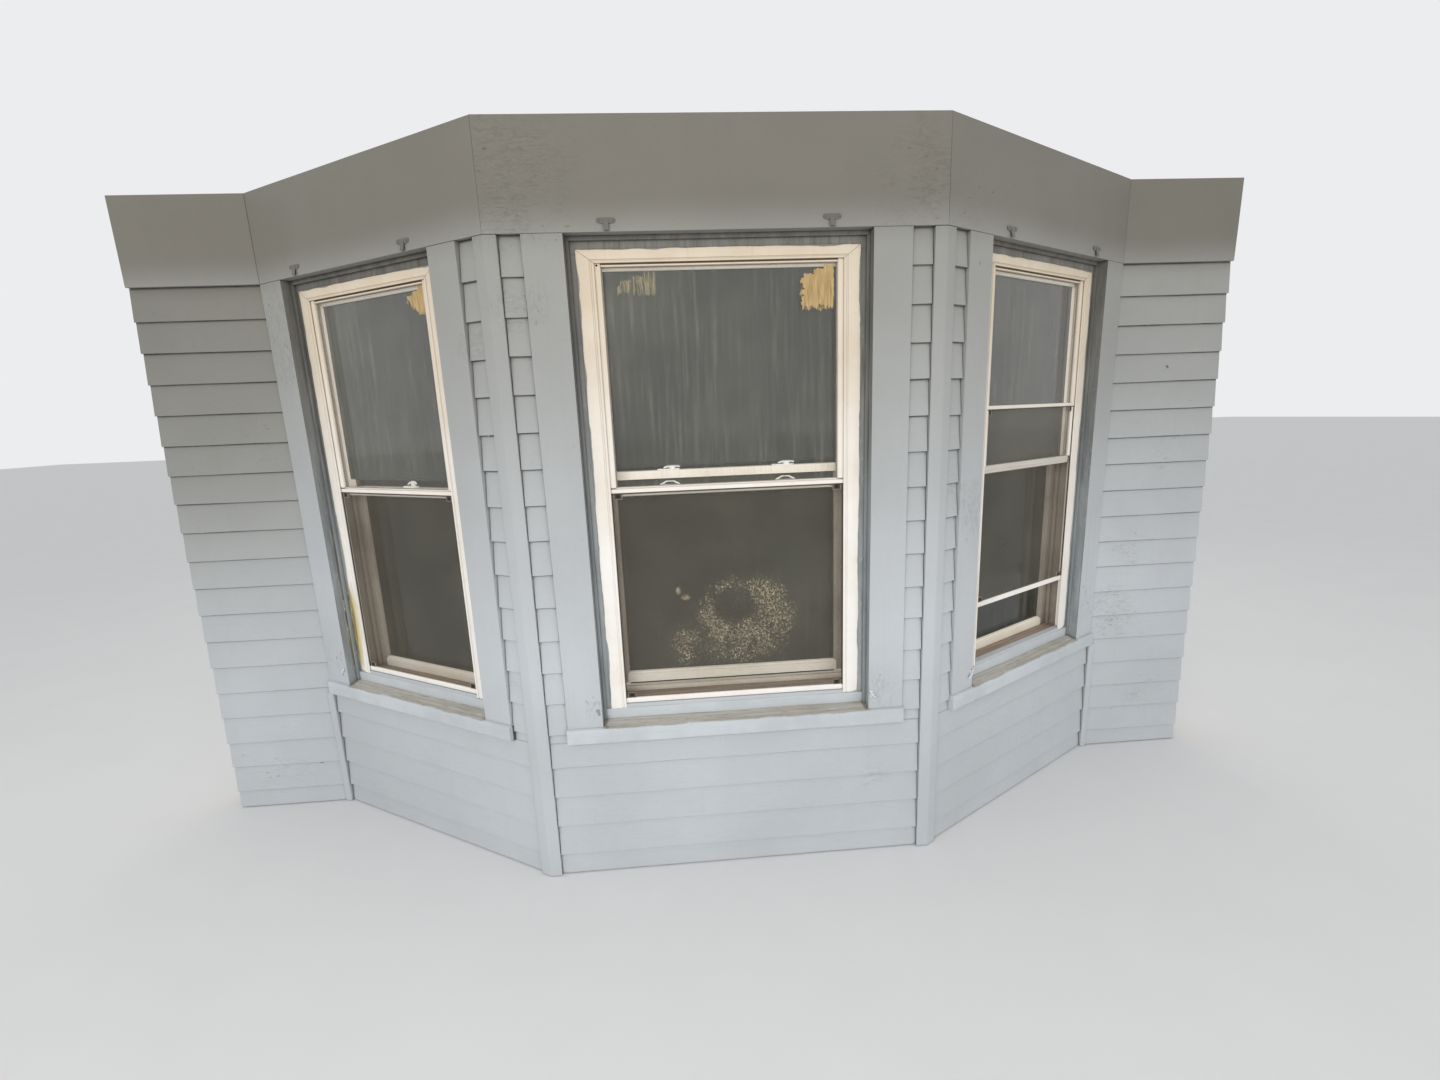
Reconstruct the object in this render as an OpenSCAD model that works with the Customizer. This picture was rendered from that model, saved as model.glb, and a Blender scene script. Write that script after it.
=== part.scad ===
// Three-sided bay window of a timber-framed house, with double-hung sashes,
// storm windows and insect screens, and a short stub of house wall on each side.
// X runs along the house wall, Y runs into the house and Z is up. The origin is on
// the floor line, in the plane of the house wall, at the middle of the bay.
// In plan every board lies at a depth behind the trim plane: 0 is the outer face
// of casings, corner boards and friezes, and larger depths lie further indoors.

/* [Bay] */
// Width of the front wall from arris to arris
front_w = 1320; // [1180:10:2000]
// Length of each side wall from the arris to the inner corner
side_len = 1076; // [1060:4:1600]
// Angle between a side wall and the house wall
bay_angle = 30; // [20:1:40]
// Length of the stub of house wall beside the bay
wing_len = 450; // [300:10:1200]
// Height of the walls from the floor line to the ceiling line
wall_h = 2335; // [2240:5:2800]

/* [Wall layers] */
// Thickness of casings, corner boards and friezes
trim_t = 28; // [24:1:36]
// Thickness of the bed that the lapped clapboards fill
siding_t = 16; // [12:1:20]
// Thickness of the sheathing and the stud wall behind it
core_t = 112; // [108:2:160]
// Thickness of the inside plaster
plaster_t = 20; // [12:1:28]

/* [Outside trim] */
// Height of the frieze boards under the ceiling line
frieze_h = 295; // [200:5:340]
// Width of each face of a corner board
corner_board_w = 38; // [30:1:50]
// Width of the strip in each inner corner below the sills
corner_strip_w = 22; // [16:1:30]
// Width of the upright window casings
casing_w = 115; // [90:1:116]
// Gap between the clapboards and the floor line
siding_lift = 4; // [2:1:12]

/* [Windows] */
// Width between the casings of the front window
front_win_w = 882; // [760:2:960]
// Width between the casings of a side window
side_win_w = 732; // [600:2:740]
// Distance from the arris to the opening of a side window
side_win_x = 222; // [180:2:240]
// Height of the sill's front edge above the floor line
sill_z = 541; // [420:1:760]
// Thickness of the sill's nose
sill_t = 49; // [38:1:60]
// How far the sill's nose stands out of the casings
sill_nose = 12; // [6:1:40]
// Slope of the sill in degrees
sill_slope = 15; // [8:1:18]
// How far the sill runs past each casing
sill_horn = 3; // [0:1:10]
// Height of the riser that closes the space between sill and storm window
riser_h = 33; // [24:1:60]
// Thickness of the jamb and head boards
jamb_t = 22; // [18:1:30]
// Width of the blind stops
blind_w = 37; // [30:1:44]
// Width of the small step in front of the blind stops
step_w = 10; // [6:1:14]
// Width of the liner that the sashes slide in
liner_w = 38; // [30:1:44]
// Height of the liner's sill under the lower sash
liner_sill_h = 8; // [4:1:16]
// Height of the lip at the room side of the liner's sill
liner_lip_h = 21; // [18:1:30]
// How far the parting stops and inside stops stand out of the liner
stop_w = 12; // [8:1:16]

/* [Storm windows] */
// Depth of the storm window's face behind the casing's face
storm_set = 40; // [38:1:44]
// Gap between the casing and the storm window's flange
storm_gap = 25; // [20:1:28]
// Gap between the head board and the storm window's flange
storm_head_gap = 34; // [24:1:36]
// Thickness of the flange
flange_t = 4; // [2:1:5]
// Width of the flange's upright bars
flange_w = 51; // [46:1:54]
// Height of the flange's head bar
flange_head_h = 37; // [32:1:40]
// Wall of the storm window's frame behind the flange
storm_wall = 18; // [14:1:20]
// Height of the lip under the screen
storm_low_h = 13; // [8:1:18]
// Width of the upright bars of the fixed upper light
light_w = 38; // [34:1:42]
// Height of the upper light's head bar
light_head_h = 16; // [14:1:20]
// Height of the upper light's bottom rail
storm_rail_h = 26; // [20:1:30]
// Height of the upper light's bottom rail above the riser
storm_rail_z = 706; // [640:1:740]
// Height of the screen's frame
screen_h = 714; // [660:1:720]
// Width of the screen's upright bars
screen_w = 20; // [16:1:24]
// Height of the screen's bottom bar
screen_low_h = 18; // [14:1:24]
// Height of the screen's top bar
screen_top_h = 13; // [10:1:20]
// Thickness of the screen's frame
screen_t = 6; // [4:1:6]
// Thickness of the insect mesh in its frame
mesh_t = 1; // [1:1:2]
// How far the right-hand window's screen is pushed up
right_screen_up = 209; // [0:1:400]

/* [Sashes] */
// Thickness of a sash
sash_t = 34; // [30:1:34]
// Width of stiles and top rails
stile_w = 48; // [40:1:56]
// Height of the lower sash's bottom rail
bottom_rail_h = 36; // [30:1:100]
// Height of the meeting rails
meet_h = 26; // [22:1:36]
// Height of the meeting rails' underside above the riser
meet_z = 702; // [660:1:740]
// How far the front window's lower sash is raised
front_sash_up = 47; // [0:1:300]
// Thickness of a pane
pane_t = 3; // [3:1:5]
// Distance of each sash lock of the front window from its middle
lock_x = 185; // [120:5:260]

/* [Inside] */
// Height of the inside floor above the floor line
floor_z = 100; // [60:5:160]
// Thickness of the floor boards
floor_t = 22; // [18:1:28]
// Width of the floor and ceiling joists
joist_w = 45; // [38:1:60]
// Height of the ceiling joists
ceiling_joist_h = 100; // [80:5:150]
// Width of the inside casings
inner_casing_w = 98; // [70:1:98]
// Thickness of the inside casings and baseboards
inner_trim_t = 18; // [14:1:24]
// Projection of the window stool into the room
stool_out = 58; // [40:1:70]
// Thickness of the window stool
stool_t = 24; // [20:1:32]
// Height of the apron below the stool
apron_h = 90; // [60:5:120]
// Height of the baseboards
base_h = 150; // [90:5:200]

/* [Hidden] */
$fn = 48;

// Running clearance between a sash, screen or light and what guides it
fit = 0.3;

// Plan of the trim plane, from the left stub's end to the right stub's end
bay_d = side_len * sin(bay_angle);
inner_x = front_w / 2 + side_len * cos(bay_angle);
PLAN = [
    [-inner_x - wing_len, 0], [-inner_x, 0], [-front_w / 2, -bay_d],
    [front_w / 2, -bay_d], [inner_x, 0], [inner_x + wing_len, 0]
];
HEADING = [0, -bay_angle, 0, bay_angle, 0];

// Depths behind the trim plane
sheath_d = trim_t;
siding_d = sheath_d - siding_t;
plaster_d = sheath_d + core_t;
room_d = plaster_d + plaster_t;

// Heights
head_z = wall_h - frieze_h;
sill_under = sill_z - sill_t;
riser_z = sill_z + riser_h + (storm_set + sill_nose) * tan(sill_slope);
ceiling_z = wall_h - ceiling_joist_h - plaster_t;
stool_z = riser_z + stool_t;

// Depths of the layers in a window
storm_back = storm_set + 25;
outer_sash_d = storm_back + fit;
inner_sash_d = room_d - stop_w - fit - sash_t;
parting_d = outer_sash_d + sash_t + fit;
parting_t = inner_sash_d - parting_d - fit;

// Storm window, seen from the front
storm_head = head_z - storm_head_gap;
storm_rail = riser_z + storm_rail_z;
meet = riser_z + meet_z;
sash_low = riser_z + liner_sill_h + fit;
screen_d = storm_set + flange_t + 1;
light_t = 9;
light_d = screen_d + screen_t + 1;
lock_t = 8;
hook_z = head_z + 28;

// Direction into the house of wall i, and where the walls' layers meet at corner i
function inward(i) = [-sin(HEADING[i]), cos(HEADING[i])];
function mitre(i) = (inward(i - 1) + inward(i)) / (1 + inward(i - 1) * inward(i));
function at(i, d) =
    PLAN[i] + d * (i == 0 ? inward(0) : i == 5 ? inward(4) : mitre(i));
function sill_top(d) = sill_z + (d + sill_nose) * tan(sill_slope);
function win_w(i) = i == 2 ? front_win_w : side_win_w;
function win_x(i) = i == 2 ? front_w / 2 : side_len - side_win_x - side_win_w / 2;

// Colours
BOARD = [0.70, 0.73, 0.76];
SASH = [0.86, 0.83, 0.76];
STORM = [0.92, 0.89, 0.84];
TIMBER = [0.72, 0.60, 0.44];
PLASTER = [0.88, 0.86, 0.82];
CLEAR = [0.45, 0.50, 0.52, 0.5];
METAL = [0.72, 0.71, 0.68];

// Layer of wall i between two depths, mitred at its corners
module layer(i, d0, d1, z0, z1) {
    translate([0, 0, z0])
        linear_extrude(z1 - z0)
            polygon([at(i, d0), at(i + 1, d0), at(i + 1, d1), at(i, d1)]);
}

// Frame of wall i: x along the wall, y into the house
module on_wall(i) {
    translate([PLAN[i].x, PLAN[i].y, 0]) rotate([0, 0, HEADING[i]]) children();
}

// Frame of the window in wall i: x from the window's middle
module at_window(i) {
    on_wall(i) translate([win_x(i), 0, 0]) children();
}

// Box from its low corner to its high corner
module block(low, high) {
    translate(low) cube(high - low);
}

// Profile of depth and height, extruded along the wall from x0 to x1
module profile(x0, x1, points) {
    translate([x0, 0, 0]) rotate([90, 0, 90]) linear_extrude(x1 - x0) polygon(points);
}

// Upright rectangular ring: outer half width and heights, bars, and depths
module ring(half, z0, z1, side, low, top, d0, d1) {
    difference() {
        block([-half, d0, z0], [half, d1, z1]);
        block([-half + side, d0 - 1, z0 + low], [half - side, d1 + 1, z1 - top]);
    }
}

// A piece of the left side and its mirror image on the right
module both_sides() {
    children();
    mirror([1, 0, 0]) children();
}

// Walls
module wall_opening(i) {
    half = win_w(i) / 2 + jamb_t;
    at_window(i)
        block([-half, sheath_d - 1, sill_under], [half, room_d + 1, head_z + jamb_t]);
}

module wall_core(i) {
    color(TIMBER) difference() {
        layer(i, sheath_d, plaster_d, 0, wall_h);
        if (i > 0 && i < 4) wall_opening(i);
    }
}

module front_wall() { wall_core(2); }
module left_side_wall() { wall_core(1); }
module right_side_wall() { mirror([1, 0, 0]) wall_core(1); }
module left_wing_wall() { wall_core(0); }
module right_wing_wall() { wall_core(4); }

module plaster_lining() {
    color(PLASTER) difference() {
        union() {
            for (i = [0:4]) layer(i, plaster_d, room_d, floor_z, ceiling_z);
        }
        wall_opening(2);
        both_sides() wall_opening(1);
    }
}

// Clapboard beds, to the frieze's underside
module casing_bay(i) {
    half = win_w(i) / 2 + casing_w;
    nose = half + sill_horn;
    at_window(i) {
        block([-half, 0, sill_under], [half, sheath_d + 1, head_z + 1]);
        block([-nose, 0, sill_under], [nose, sheath_d + 1, sill_top(sheath_d)]);
    }
}

module front_siding() {
    color(BOARD) difference() {
        on_wall(2) block([corner_board_w, siding_d, siding_lift],
            [front_w - corner_board_w, sheath_d, head_z]);
        casing_bay(2);
    }
}

module side_siding() {
    color(BOARD) both_sides() difference() {
        layer(1, siding_d, sheath_d, siding_lift, head_z);
        on_wall(1) {
            block([side_len - corner_board_w, 0, -1], [side_len + trim_t, trim_t + 1, head_z + 1]);
            block([-trim_t, 0, sill_under], [win_x(1), trim_t + 1, head_z + 1]);
        }
        casing_bay(1);
    }
}

module wing_siding() {
    color(BOARD) both_sides() difference() {
        layer(0, siding_d, sheath_d, siding_lift, head_z);
        on_wall(0) block([wing_len - corner_strip_w, 0, -1],
            [wing_len + trim_t, sheath_d + 1, sill_under]);
    }
}

// Friezes
module front_frieze() { color(BOARD) layer(2, 0, trim_t, head_z, wall_h); }
module side_friezes() { color(BOARD) both_sides() layer(1, 0, trim_t, head_z, wall_h); }
module wing_friezes() { color(BOARD) both_sides() layer(0, 0, trim_t, head_z, wall_h); }

// Corner boards of two pieces mitred at the arris. The strips in the inner corners lie
// flat on the house wall, and the side walls' clapboards end against them.
module left_corner_board() {
    color(BOARD) linear_extrude(head_z) polygon([
        at(2, 0), PLAN[2] + [corner_board_w, 0], PLAN[2] + [corner_board_w, trim_t],
        at(2, trim_t), PLAN[2] + side_along(-corner_board_w) + trim_t * inward(1),
        PLAN[2] + side_along(-corner_board_w)
    ]);
}

function side_along(x) = x * [cos(bay_angle), -sin(bay_angle)];

module right_corner_board() { mirror([1, 0, 0]) left_corner_board(); }

module inner_corner_strips() {
    color(BOARD) both_sides() linear_extrude(sill_under) polygon([
        at(1, 0), at(1, trim_t),
        PLAN[1] + [-corner_strip_w, trim_t], PLAN[1] + [-corner_strip_w, 0]
    ]);
}

// Window casings, standing on the sill
module casing_profile(x0, x1) {
    profile(x0, x1, [
        [0, sill_top(0)], [trim_t, sill_top(trim_t)], [trim_t, head_z], [0, head_z]
    ]);
}

module front_casings() {
    half = front_win_w / 2;
    color(BOARD) at_window(2) both_sides() casing_profile(half, half + casing_w);
}

module side_casings() {
    half = side_win_w / 2;
    color(BOARD) {
        at_window(1) casing_profile(half, half + casing_w);
        intersection() {
            on_wall(1) casing_profile(-trim_t, win_x(1) - half);
            layer(1, 0, trim_t, 0, wall_h);
        }
    }
}

module left_casings() { side_casings(); }
module right_casings() { mirror([1, 0, 0]) side_casings(); }

// Sills with nose, riser and inner bed
module sill(i) {
    half = win_w(i) / 2;
    low_x = i == 2 ? -half - casing_w - sill_horn : -win_x(i);
    color(BOARD) at_window(i) {
        profile(low_x, half + casing_w + sill_horn, [
            [-sill_nose, sill_under], [sheath_d, sill_under],
            [sheath_d, sill_top(sheath_d)], [-sill_nose, sill_z]
        ]);
        profile(-half - jamb_t, half + jamb_t, [
            [sheath_d, sill_under], [room_d, sill_under], [room_d, riser_z],
            [storm_set, riser_z], [storm_set, sill_top(storm_set)],
            [sheath_d, sill_top(sheath_d)]
        ]);
    }
}

module front_sill() { sill(2); }
module left_sill() { sill(1); }
module right_sill() { mirror([1, 0, 0]) sill(1); }

// Jambs, head, blind stops, and the liner with its parting stops and inside stops
module stop_ring(i, w, top, d0, d1, z0) {
    half = win_w(i) / 2;
    ring(half, z0, head_z, w, -1, top, d0, d1);
}

module window_frame(i) {
    half = win_w(i) / 2;
    color(BOARD) at_window(i) {
        both_sides() profile(half, half + jamb_t, [
            [sheath_d, sill_top(sheath_d)], [storm_set, sill_top(storm_set)],
            [storm_set, riser_z], [room_d, riser_z], [room_d, head_z], [sheath_d, head_z]
        ]);
        block([-half - jamb_t, sheath_d, head_z], [half + jamb_t, room_d, head_z + jamb_t]);
        stop_ring(i, step_w, step_w + 2, sheath_d, storm_set, sill_top(storm_set));
        stop_ring(i, step_w, step_w + 2, storm_set, storm_set + flange_t, riser_z);
        stop_ring(i, blind_w, blind_w + 9, storm_set + flange_t, storm_back, riser_z);
        stop_ring(i, liner_w, liner_w, storm_back, room_d, riser_z);
        stop_ring(i, liner_w + stop_w, liner_w + stop_w, parting_d, parting_d + parting_t, riser_z);
        stop_ring(i, liner_w + stop_w, liner_w + stop_w, room_d - stop_w, room_d, riser_z);
        block([-half, storm_back, riser_z], [half, room_d, riser_z + liner_sill_h]);
        block([-half, room_d - stop_w, riser_z], [half, room_d, riser_z + liner_lip_h]);
    }
}

module front_window_frame() { window_frame(2); }
module left_window_frame() { window_frame(1); }
module right_window_frame() { mirror([1, 0, 0]) window_frame(1); }

// Storm window: flange, frame and fixed upper light
function storm_half(i) = win_w(i) / 2 - storm_gap;
function body_half(i) = win_w(i) / 2 - blind_w - fit;
function track_half(i) = body_half(i) - storm_wall;
storm_top_in = head_z - blind_w - 9 - fit;

module storm_window(i) {
    color(STORM) at_window(i) {
        ring(storm_half(i), riser_z, storm_head, flange_w, storm_low_h, flange_head_h,
            storm_set, storm_set + flange_t);
        ring(body_half(i), riser_z, storm_top_in, storm_wall, storm_low_h, storm_wall,
            storm_set + flange_t, storm_back - fit);
        ring(track_half(i), storm_rail, storm_top_in - storm_wall, light_w,
            storm_rail_h, light_head_h, light_d, light_d + light_t);
    }
}

module front_storm_window() { storm_window(2); }
module left_storm_window() { storm_window(1); }
module right_storm_window() { mirror([1, 0, 0]) storm_window(1); }

// Insect screen, pushed up by the given height
module screen(i, up) {
    half = track_half(i) - fit;
    low = riser_z + storm_low_h + fit + up;
    high = low + screen_h;
    mid = screen_d + screen_t / 2;
    color(STORM) at_window(i) {
        ring(half, low, high, screen_w, screen_low_h, screen_top_h, screen_d, screen_d + screen_t);
        block([-half + 2, mid - mesh_t / 2, low + 2], [half - 2, mid + mesh_t / 2, high - 2]);
    }
}

module front_screen() { screen(2, 0); }
module left_screen() { screen(1, 0); }
module right_screen() { mirror([1, 0, 0]) screen(1, right_screen_up); }

// Sashes, with the meeting rails brought together where both are closed
function sash_half(i) = win_w(i) / 2 - liner_w - fit;
function sash_up(i) = i == 2 ? front_sash_up : 0;

module upper_sash(i) {
    half = sash_half(i);
    rail = half - stop_w - 1;
    color(SASH) at_window(i) {
        ring(half, meet, head_z - liner_w - fit, stile_w, meet_h, stile_w,
            outer_sash_d, outer_sash_d + sash_t);
        block([-rail, outer_sash_d + sash_t - 1, meet],
            [rail, parting_d + parting_t / 2, meet + meet_h]);
    }
}

module lower_sash(i) {
    half = sash_half(i);
    rail = half - stop_w - 1;
    color(SASH) at_window(i) translate([0, 0, sash_up(i)]) {
        ring(half, sash_low, meet + meet_h, stile_w, bottom_rail_h, meet_h,
            inner_sash_d, inner_sash_d + sash_t);
        block([-rail, parting_d + parting_t / 2 + fit, meet],
            [rail, inner_sash_d + 1, meet + meet_h]);
    }
}

module front_upper_sash() { upper_sash(2); }
module left_upper_sash() { upper_sash(1); }
module right_upper_sash() { mirror([1, 0, 0]) upper_sash(1); }
module front_lower_sash() { lower_sash(2); }
module left_lower_sash() { lower_sash(1); }
module right_lower_sash() { mirror([1, 0, 0]) lower_sash(1); }

// Panes
module pane(half, z0, z1, mid) {
    block([-half, mid - pane_t / 2, z0], [half, mid + pane_t / 2, z1]);
}

module storm_panes(i) {
    at_window(i) pane(track_half(i) - light_w, storm_rail + storm_rail_h,
        storm_top_in - storm_wall - light_head_h, light_d + light_t / 2);
}

module sash_panes(i) {
    half = sash_half(i) - stile_w;
    at_window(i) {
        pane(half, meet + meet_h, head_z - liner_w - fit - stile_w,
            outer_sash_d + sash_t / 2);
        translate([0, 0, sash_up(i)])
            pane(half, sash_low + bottom_rail_h, meet, inner_sash_d + sash_t / 2);
    }
}

module storm_glass() {
    color(CLEAR) {
        storm_panes(2);
        both_sides() storm_panes(1);
    }
}

module sash_glass() {
    color(CLEAR) {
        sash_panes(2);
        both_sides() sash_panes(1);
    }
}

// Sash locks on the lower sashes' meeting rails: a base plate, a turning cam and its lever
module sash_lock(i) {
    top = meet + meet_h + sash_up(i);
    mid = parting_d + parting_t / 2 + 12;
    translate([0, mid, top]) {
        block([-30, -9, 0], [30, 9, 3]);
        cylinder(r = 9, h = lock_t + 3);
        block([-4, -4, lock_t - 2], [28, 4, lock_t + 3]);
    }
}

module sash_locks() {
    color(METAL) {
        at_window(2) for (x = [-lock_x, lock_x]) translate([x, 0, 0]) sash_lock(2);
        both_sides() at_window(1) sash_lock(1);
    }
}

// Hanger hooks on the friezes and catches low on the casings
module hanger() {
    translate([0, 0, hook_z]) {
        block([-26, -3, -7], [26, 0, 7]);
        block([-8, -9, -26], [8, -3, 8]);
    }
}

module casing_catch() {
    translate([0, 0, riser_z + 10]) block([-5, -8, -14], [5, 0, 14]);
}

module window_hooks() {
    color(METAL) {
        at_window(2) {
            for (x = [-1, 1]) {
                translate([x * (front_win_w / 2 - 122), 0, 0]) hanger();
                translate([x * (front_win_w / 2 + 12), 0, 0]) casing_catch();
            }
        }
        both_sides() at_window(1) {
            for (x = [-1, 1]) translate([x * (side_win_w / 2 - 95), 0, 0]) hanger();
        }
        mirror([1, 0, 0]) at_window(1)
            translate([side_win_w / 2 + 12, 0, 0]) casing_catch();
        at_window(1) translate([-side_win_w / 2 - 22, 0, 0]) casing_catch();
    }
}

// Inside trim
module inner_casing(i) {
    half = win_w(i) / 2;
    top = head_z + inner_casing_w;
    at_window(i) difference() {
        block([-half - inner_casing_w, room_d, stool_z],
            [half + inner_casing_w, room_d + inner_trim_t, top]);
        block([-half, room_d - 1, stool_z - 1], [half, room_d + inner_trim_t + 1, head_z]);
    }
}

module inner_casings() {
    color(SASH) {
        inner_casing(2);
        both_sides() inner_casing(1);
    }
}

module stool(i) {
    half = win_w(i) / 2 + inner_casing_w;
    at_window(i) {
        block([-half - 12, room_d, riser_z], [half + 12, room_d + stool_out, stool_z]);
        block([-half, room_d, riser_z - apron_h], [half, room_d + inner_trim_t, riser_z]);
    }
}

module window_stools() {
    color(SASH) {
        stool(2);
        both_sides() stool(1);
    }
}

module baseboards() {
    color(SASH) for (i = [0:4])
        layer(i, room_d, room_d + inner_trim_t, floor_z, floor_z + base_h);
}

// Floor and ceiling of the bay
module recess(z0, z1, side_d, back_y) {
    translate([0, 0, z0]) linear_extrude(z1 - z0) intersection() {
        polygon([at(1, side_d), at(2, side_d), at(3, side_d), at(4, side_d)]);
        translate([-inner_x, -bay_d]) square([2 * inner_x, bay_d + back_y]);
    }
}

module joist_row(z0, z1) {
    intersection() {
        recess(z0, z1, plaster_d, plaster_d);
        for (x = [-2:2])
            block([x * front_w / 3 - joist_w / 2, -bay_d, z0 - 1],
                [x * front_w / 3 + joist_w / 2, room_d, z1 + 1]);
    }
}

module floor_joists() { color(TIMBER) joist_row(0, floor_z - floor_t); }
module bay_floor() { color(TIMBER) recess(floor_z - floor_t, floor_z, plaster_d, plaster_d); }
module ceiling_joists() {
    color(TIMBER) difference() {
        joist_row(ceiling_z + plaster_t, wall_h);
        block([-inner_x - 1, sheath_d, ceiling_z], [inner_x + 1, room_d, wall_h + 1]);
    }
}
module bay_ceiling() { color(PLASTER) recess(ceiling_z, ceiling_z + plaster_t, plaster_d, room_d); }
module bay_header() {
    color(TIMBER) intersection() {
        block([-inner_x, sheath_d, ceiling_z + plaster_t], [inner_x, plaster_d, wall_h]);
        recess(ceiling_z, wall_h, plaster_d, plaster_d);
    }
}

front_wall();
left_side_wall();
right_side_wall();
left_wing_wall();
right_wing_wall();
plaster_lining();
front_siding();
side_siding();
wing_siding();
front_frieze();
side_friezes();
wing_friezes();
left_corner_board();
right_corner_board();
inner_corner_strips();
front_casings();
left_casings();
right_casings();
front_window_frame();
left_window_frame();
right_window_frame();
front_sill();
left_sill();
right_sill();
front_storm_window();
left_storm_window();
right_storm_window();
front_screen();
left_screen();
right_screen();
front_upper_sash();
left_upper_sash();
right_upper_sash();
front_lower_sash();
left_lower_sash();
right_lower_sash();
storm_glass();
sash_glass();
sash_locks();
window_hooks();
inner_casings();
window_stools();
baseboards();
floor_joists();
bay_floor();
ceiling_joists();
bay_ceiling();
bay_header();
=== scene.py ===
"""Bay window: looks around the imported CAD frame. Lengths are millimetres until a mesh is made."""
import math
import random

import bmesh
import bpy
from mathutils import Matrix, Vector, noise


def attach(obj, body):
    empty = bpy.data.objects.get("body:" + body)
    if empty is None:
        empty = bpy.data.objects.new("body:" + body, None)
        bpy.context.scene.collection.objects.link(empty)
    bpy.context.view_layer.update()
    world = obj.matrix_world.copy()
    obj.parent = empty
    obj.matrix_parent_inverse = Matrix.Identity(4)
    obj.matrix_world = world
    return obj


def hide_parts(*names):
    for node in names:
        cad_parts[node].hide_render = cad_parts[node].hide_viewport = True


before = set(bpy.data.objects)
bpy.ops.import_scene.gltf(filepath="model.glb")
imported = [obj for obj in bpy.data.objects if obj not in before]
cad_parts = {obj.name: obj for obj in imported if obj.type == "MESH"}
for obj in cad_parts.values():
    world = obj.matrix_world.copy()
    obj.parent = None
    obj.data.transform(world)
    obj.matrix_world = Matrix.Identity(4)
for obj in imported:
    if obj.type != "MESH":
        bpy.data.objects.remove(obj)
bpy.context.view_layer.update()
scene = bpy.context.scene
MM = 0.001

# ---------------------------------------------------------------- sizes, as in the CAD source
FRONT_W, SIDE_LEN, ANGLE, WING, WALL_H = 1320.0, 1076.0, 30.0, 450.0, 2335.0
TRIM, CORE_BACK, ROOM, HEAD = 28.0, 140.0, 160.0, 2040.0
CORNER, STRIP, CASING = 38.0, 22.0, 115.0
SILL_Z, SILL_T, NOSE, SLOPE, HORN = 541.0, 49.0, 12.0, math.tan(math.radians(15)), 3.0
SILL_LOW = SILL_Z - SILL_T
HALF = {1: 366.0, 2: 441.0, 3: 366.0}
WIN_X = {1: 488.0, 2: 660.0, 3: 588.0}
# Depth of the storm windows' face and back
SET, STORM_BACK = 40.0, 65.0
RISER = SILL_Z + 33 + (SET + NOSE) * SLOPE
# How far the window frame's parts reach, and the storm window's gap, flange and frame
JAMB, STEP, BLIND, LINER, STOP = 22.0, 10.0, 37.0, 38.0, 12.0
GAP, FLANGE, WALL, FLANGE_HEAD = 25.0, 51.0, 18.0, 37.0
STORM_TOP = HEAD - 34
STORM_HEAD = HEAD - BLIND - 9.3
LIGHT_TOP = STORM_HEAD - WALL - 16
RAIL_Z, RAIL_H = RISER + 706, 26.0
RAIL_TOP = RAIL_Z + RAIL_H
SCREEN_H, SCREEN_UP = 714.0, 209.0
STILE, MEET_H = 48.0, 26.0
MEET = RISER + 702
MEET_TOP = MEET + MEET_H
FRONT_UP = 47.0
FLOOR_Z, FLOOR_T = 100.0, 22.0
COURSE = 108.4
# Depths, front and back: the upper sash, the parting stop and the lower sash
UPPER, PARTING, LOWER = (65.3, 99.3), (99.6, 113.4), (113.7, 147.7)
# How far the noses and tops stay inside the CAD's box
EASE = 0.1
# Depth of a clapboard's face behind the trim's: at its butt, and how much more one course higher
BUTT, LEAN = 6.5, 9.0
MITRE = math.tan(math.radians(ANGLE / 2))

BAY_D = SIDE_LEN * math.sin(math.radians(ANGLE))
INNER_X = FRONT_W / 2 + SIDE_LEN * math.cos(math.radians(ANGLE))
PLAN = [(-INNER_X - WING, 0), (-INNER_X, 0), (-FRONT_W / 2, -BAY_D),
        (FRONT_W / 2, -BAY_D), (INNER_X, 0), (INNER_X + WING, 0)]
HEADING = [0, -ANGLE, 0, ANGLE, 0]
LENGTH = [WING, SIDE_LEN, FRONT_W, SIDE_LEN, WING]
# How the plan turns at each corner: 1 outward, -1 inward, 0 at its square ends
TURN = [0, -1, 1, 1, -1, 0]
SIDE = {1: "left", 2: "front", 3: "right"}

# Wrinkled and peeled places of each wall's paint: along the wall, height, reach and amount
WORN = {
    0: ((380, 1500, 180, 0.4), (200, 150, 220, 0.5)),
    1: ((60, 1850, 260, 1.1), (80, 640, 130, 0.8), (1000, 700, 120, 0.6), (1010, 1750, 140, 0.7),
        (200, 120, 200, 0.5)),
    2: ((40, 2200, 330, 1.0), (1270, 2180, 260, 0.8), (140, 2050, 130, 0.7),
        (1130, 620, 110, 1.0), (75, 1850, 150, 0.8), (1100, 300, 160, 0.6), (200, 610, 70, 0.8)),
    3: ((180, 1200, 160, 0.9), (60, 1300, 150, 0.6), (1000, 700, 140, 0.8), (90, 2100, 200, 0.6),
        (600, 200, 200, 0.5)),
    4: ((70, 640, 200, 1.1), (120, 900, 150, 0.7), (250, 1300, 130, 0.5), (240, 240, 180, 0.5)),
}


def sill_top(d):
    return SILL_Z + (d + NOSE) * SLOPE


def span(i, d):
    """Where wall i begins and ends along itself at depth d."""
    return d * MITRE * TURN[i], LENGTH[i] - d * MITRE * TURN[i + 1]


def worn(wall, x, z, spread=1.0):
    """How worn the paint is at a place of a wall."""
    return max((a * (1 - math.hypot(x - u, z - w) / (spread * r))
                for u, w, r, a in WORN.get(wall, ())), default=0.0)


def dice(*key):
    """A seeded source of random numbers for one board or piece."""
    return random.Random("-".join(str(k) for k in key))


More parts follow.
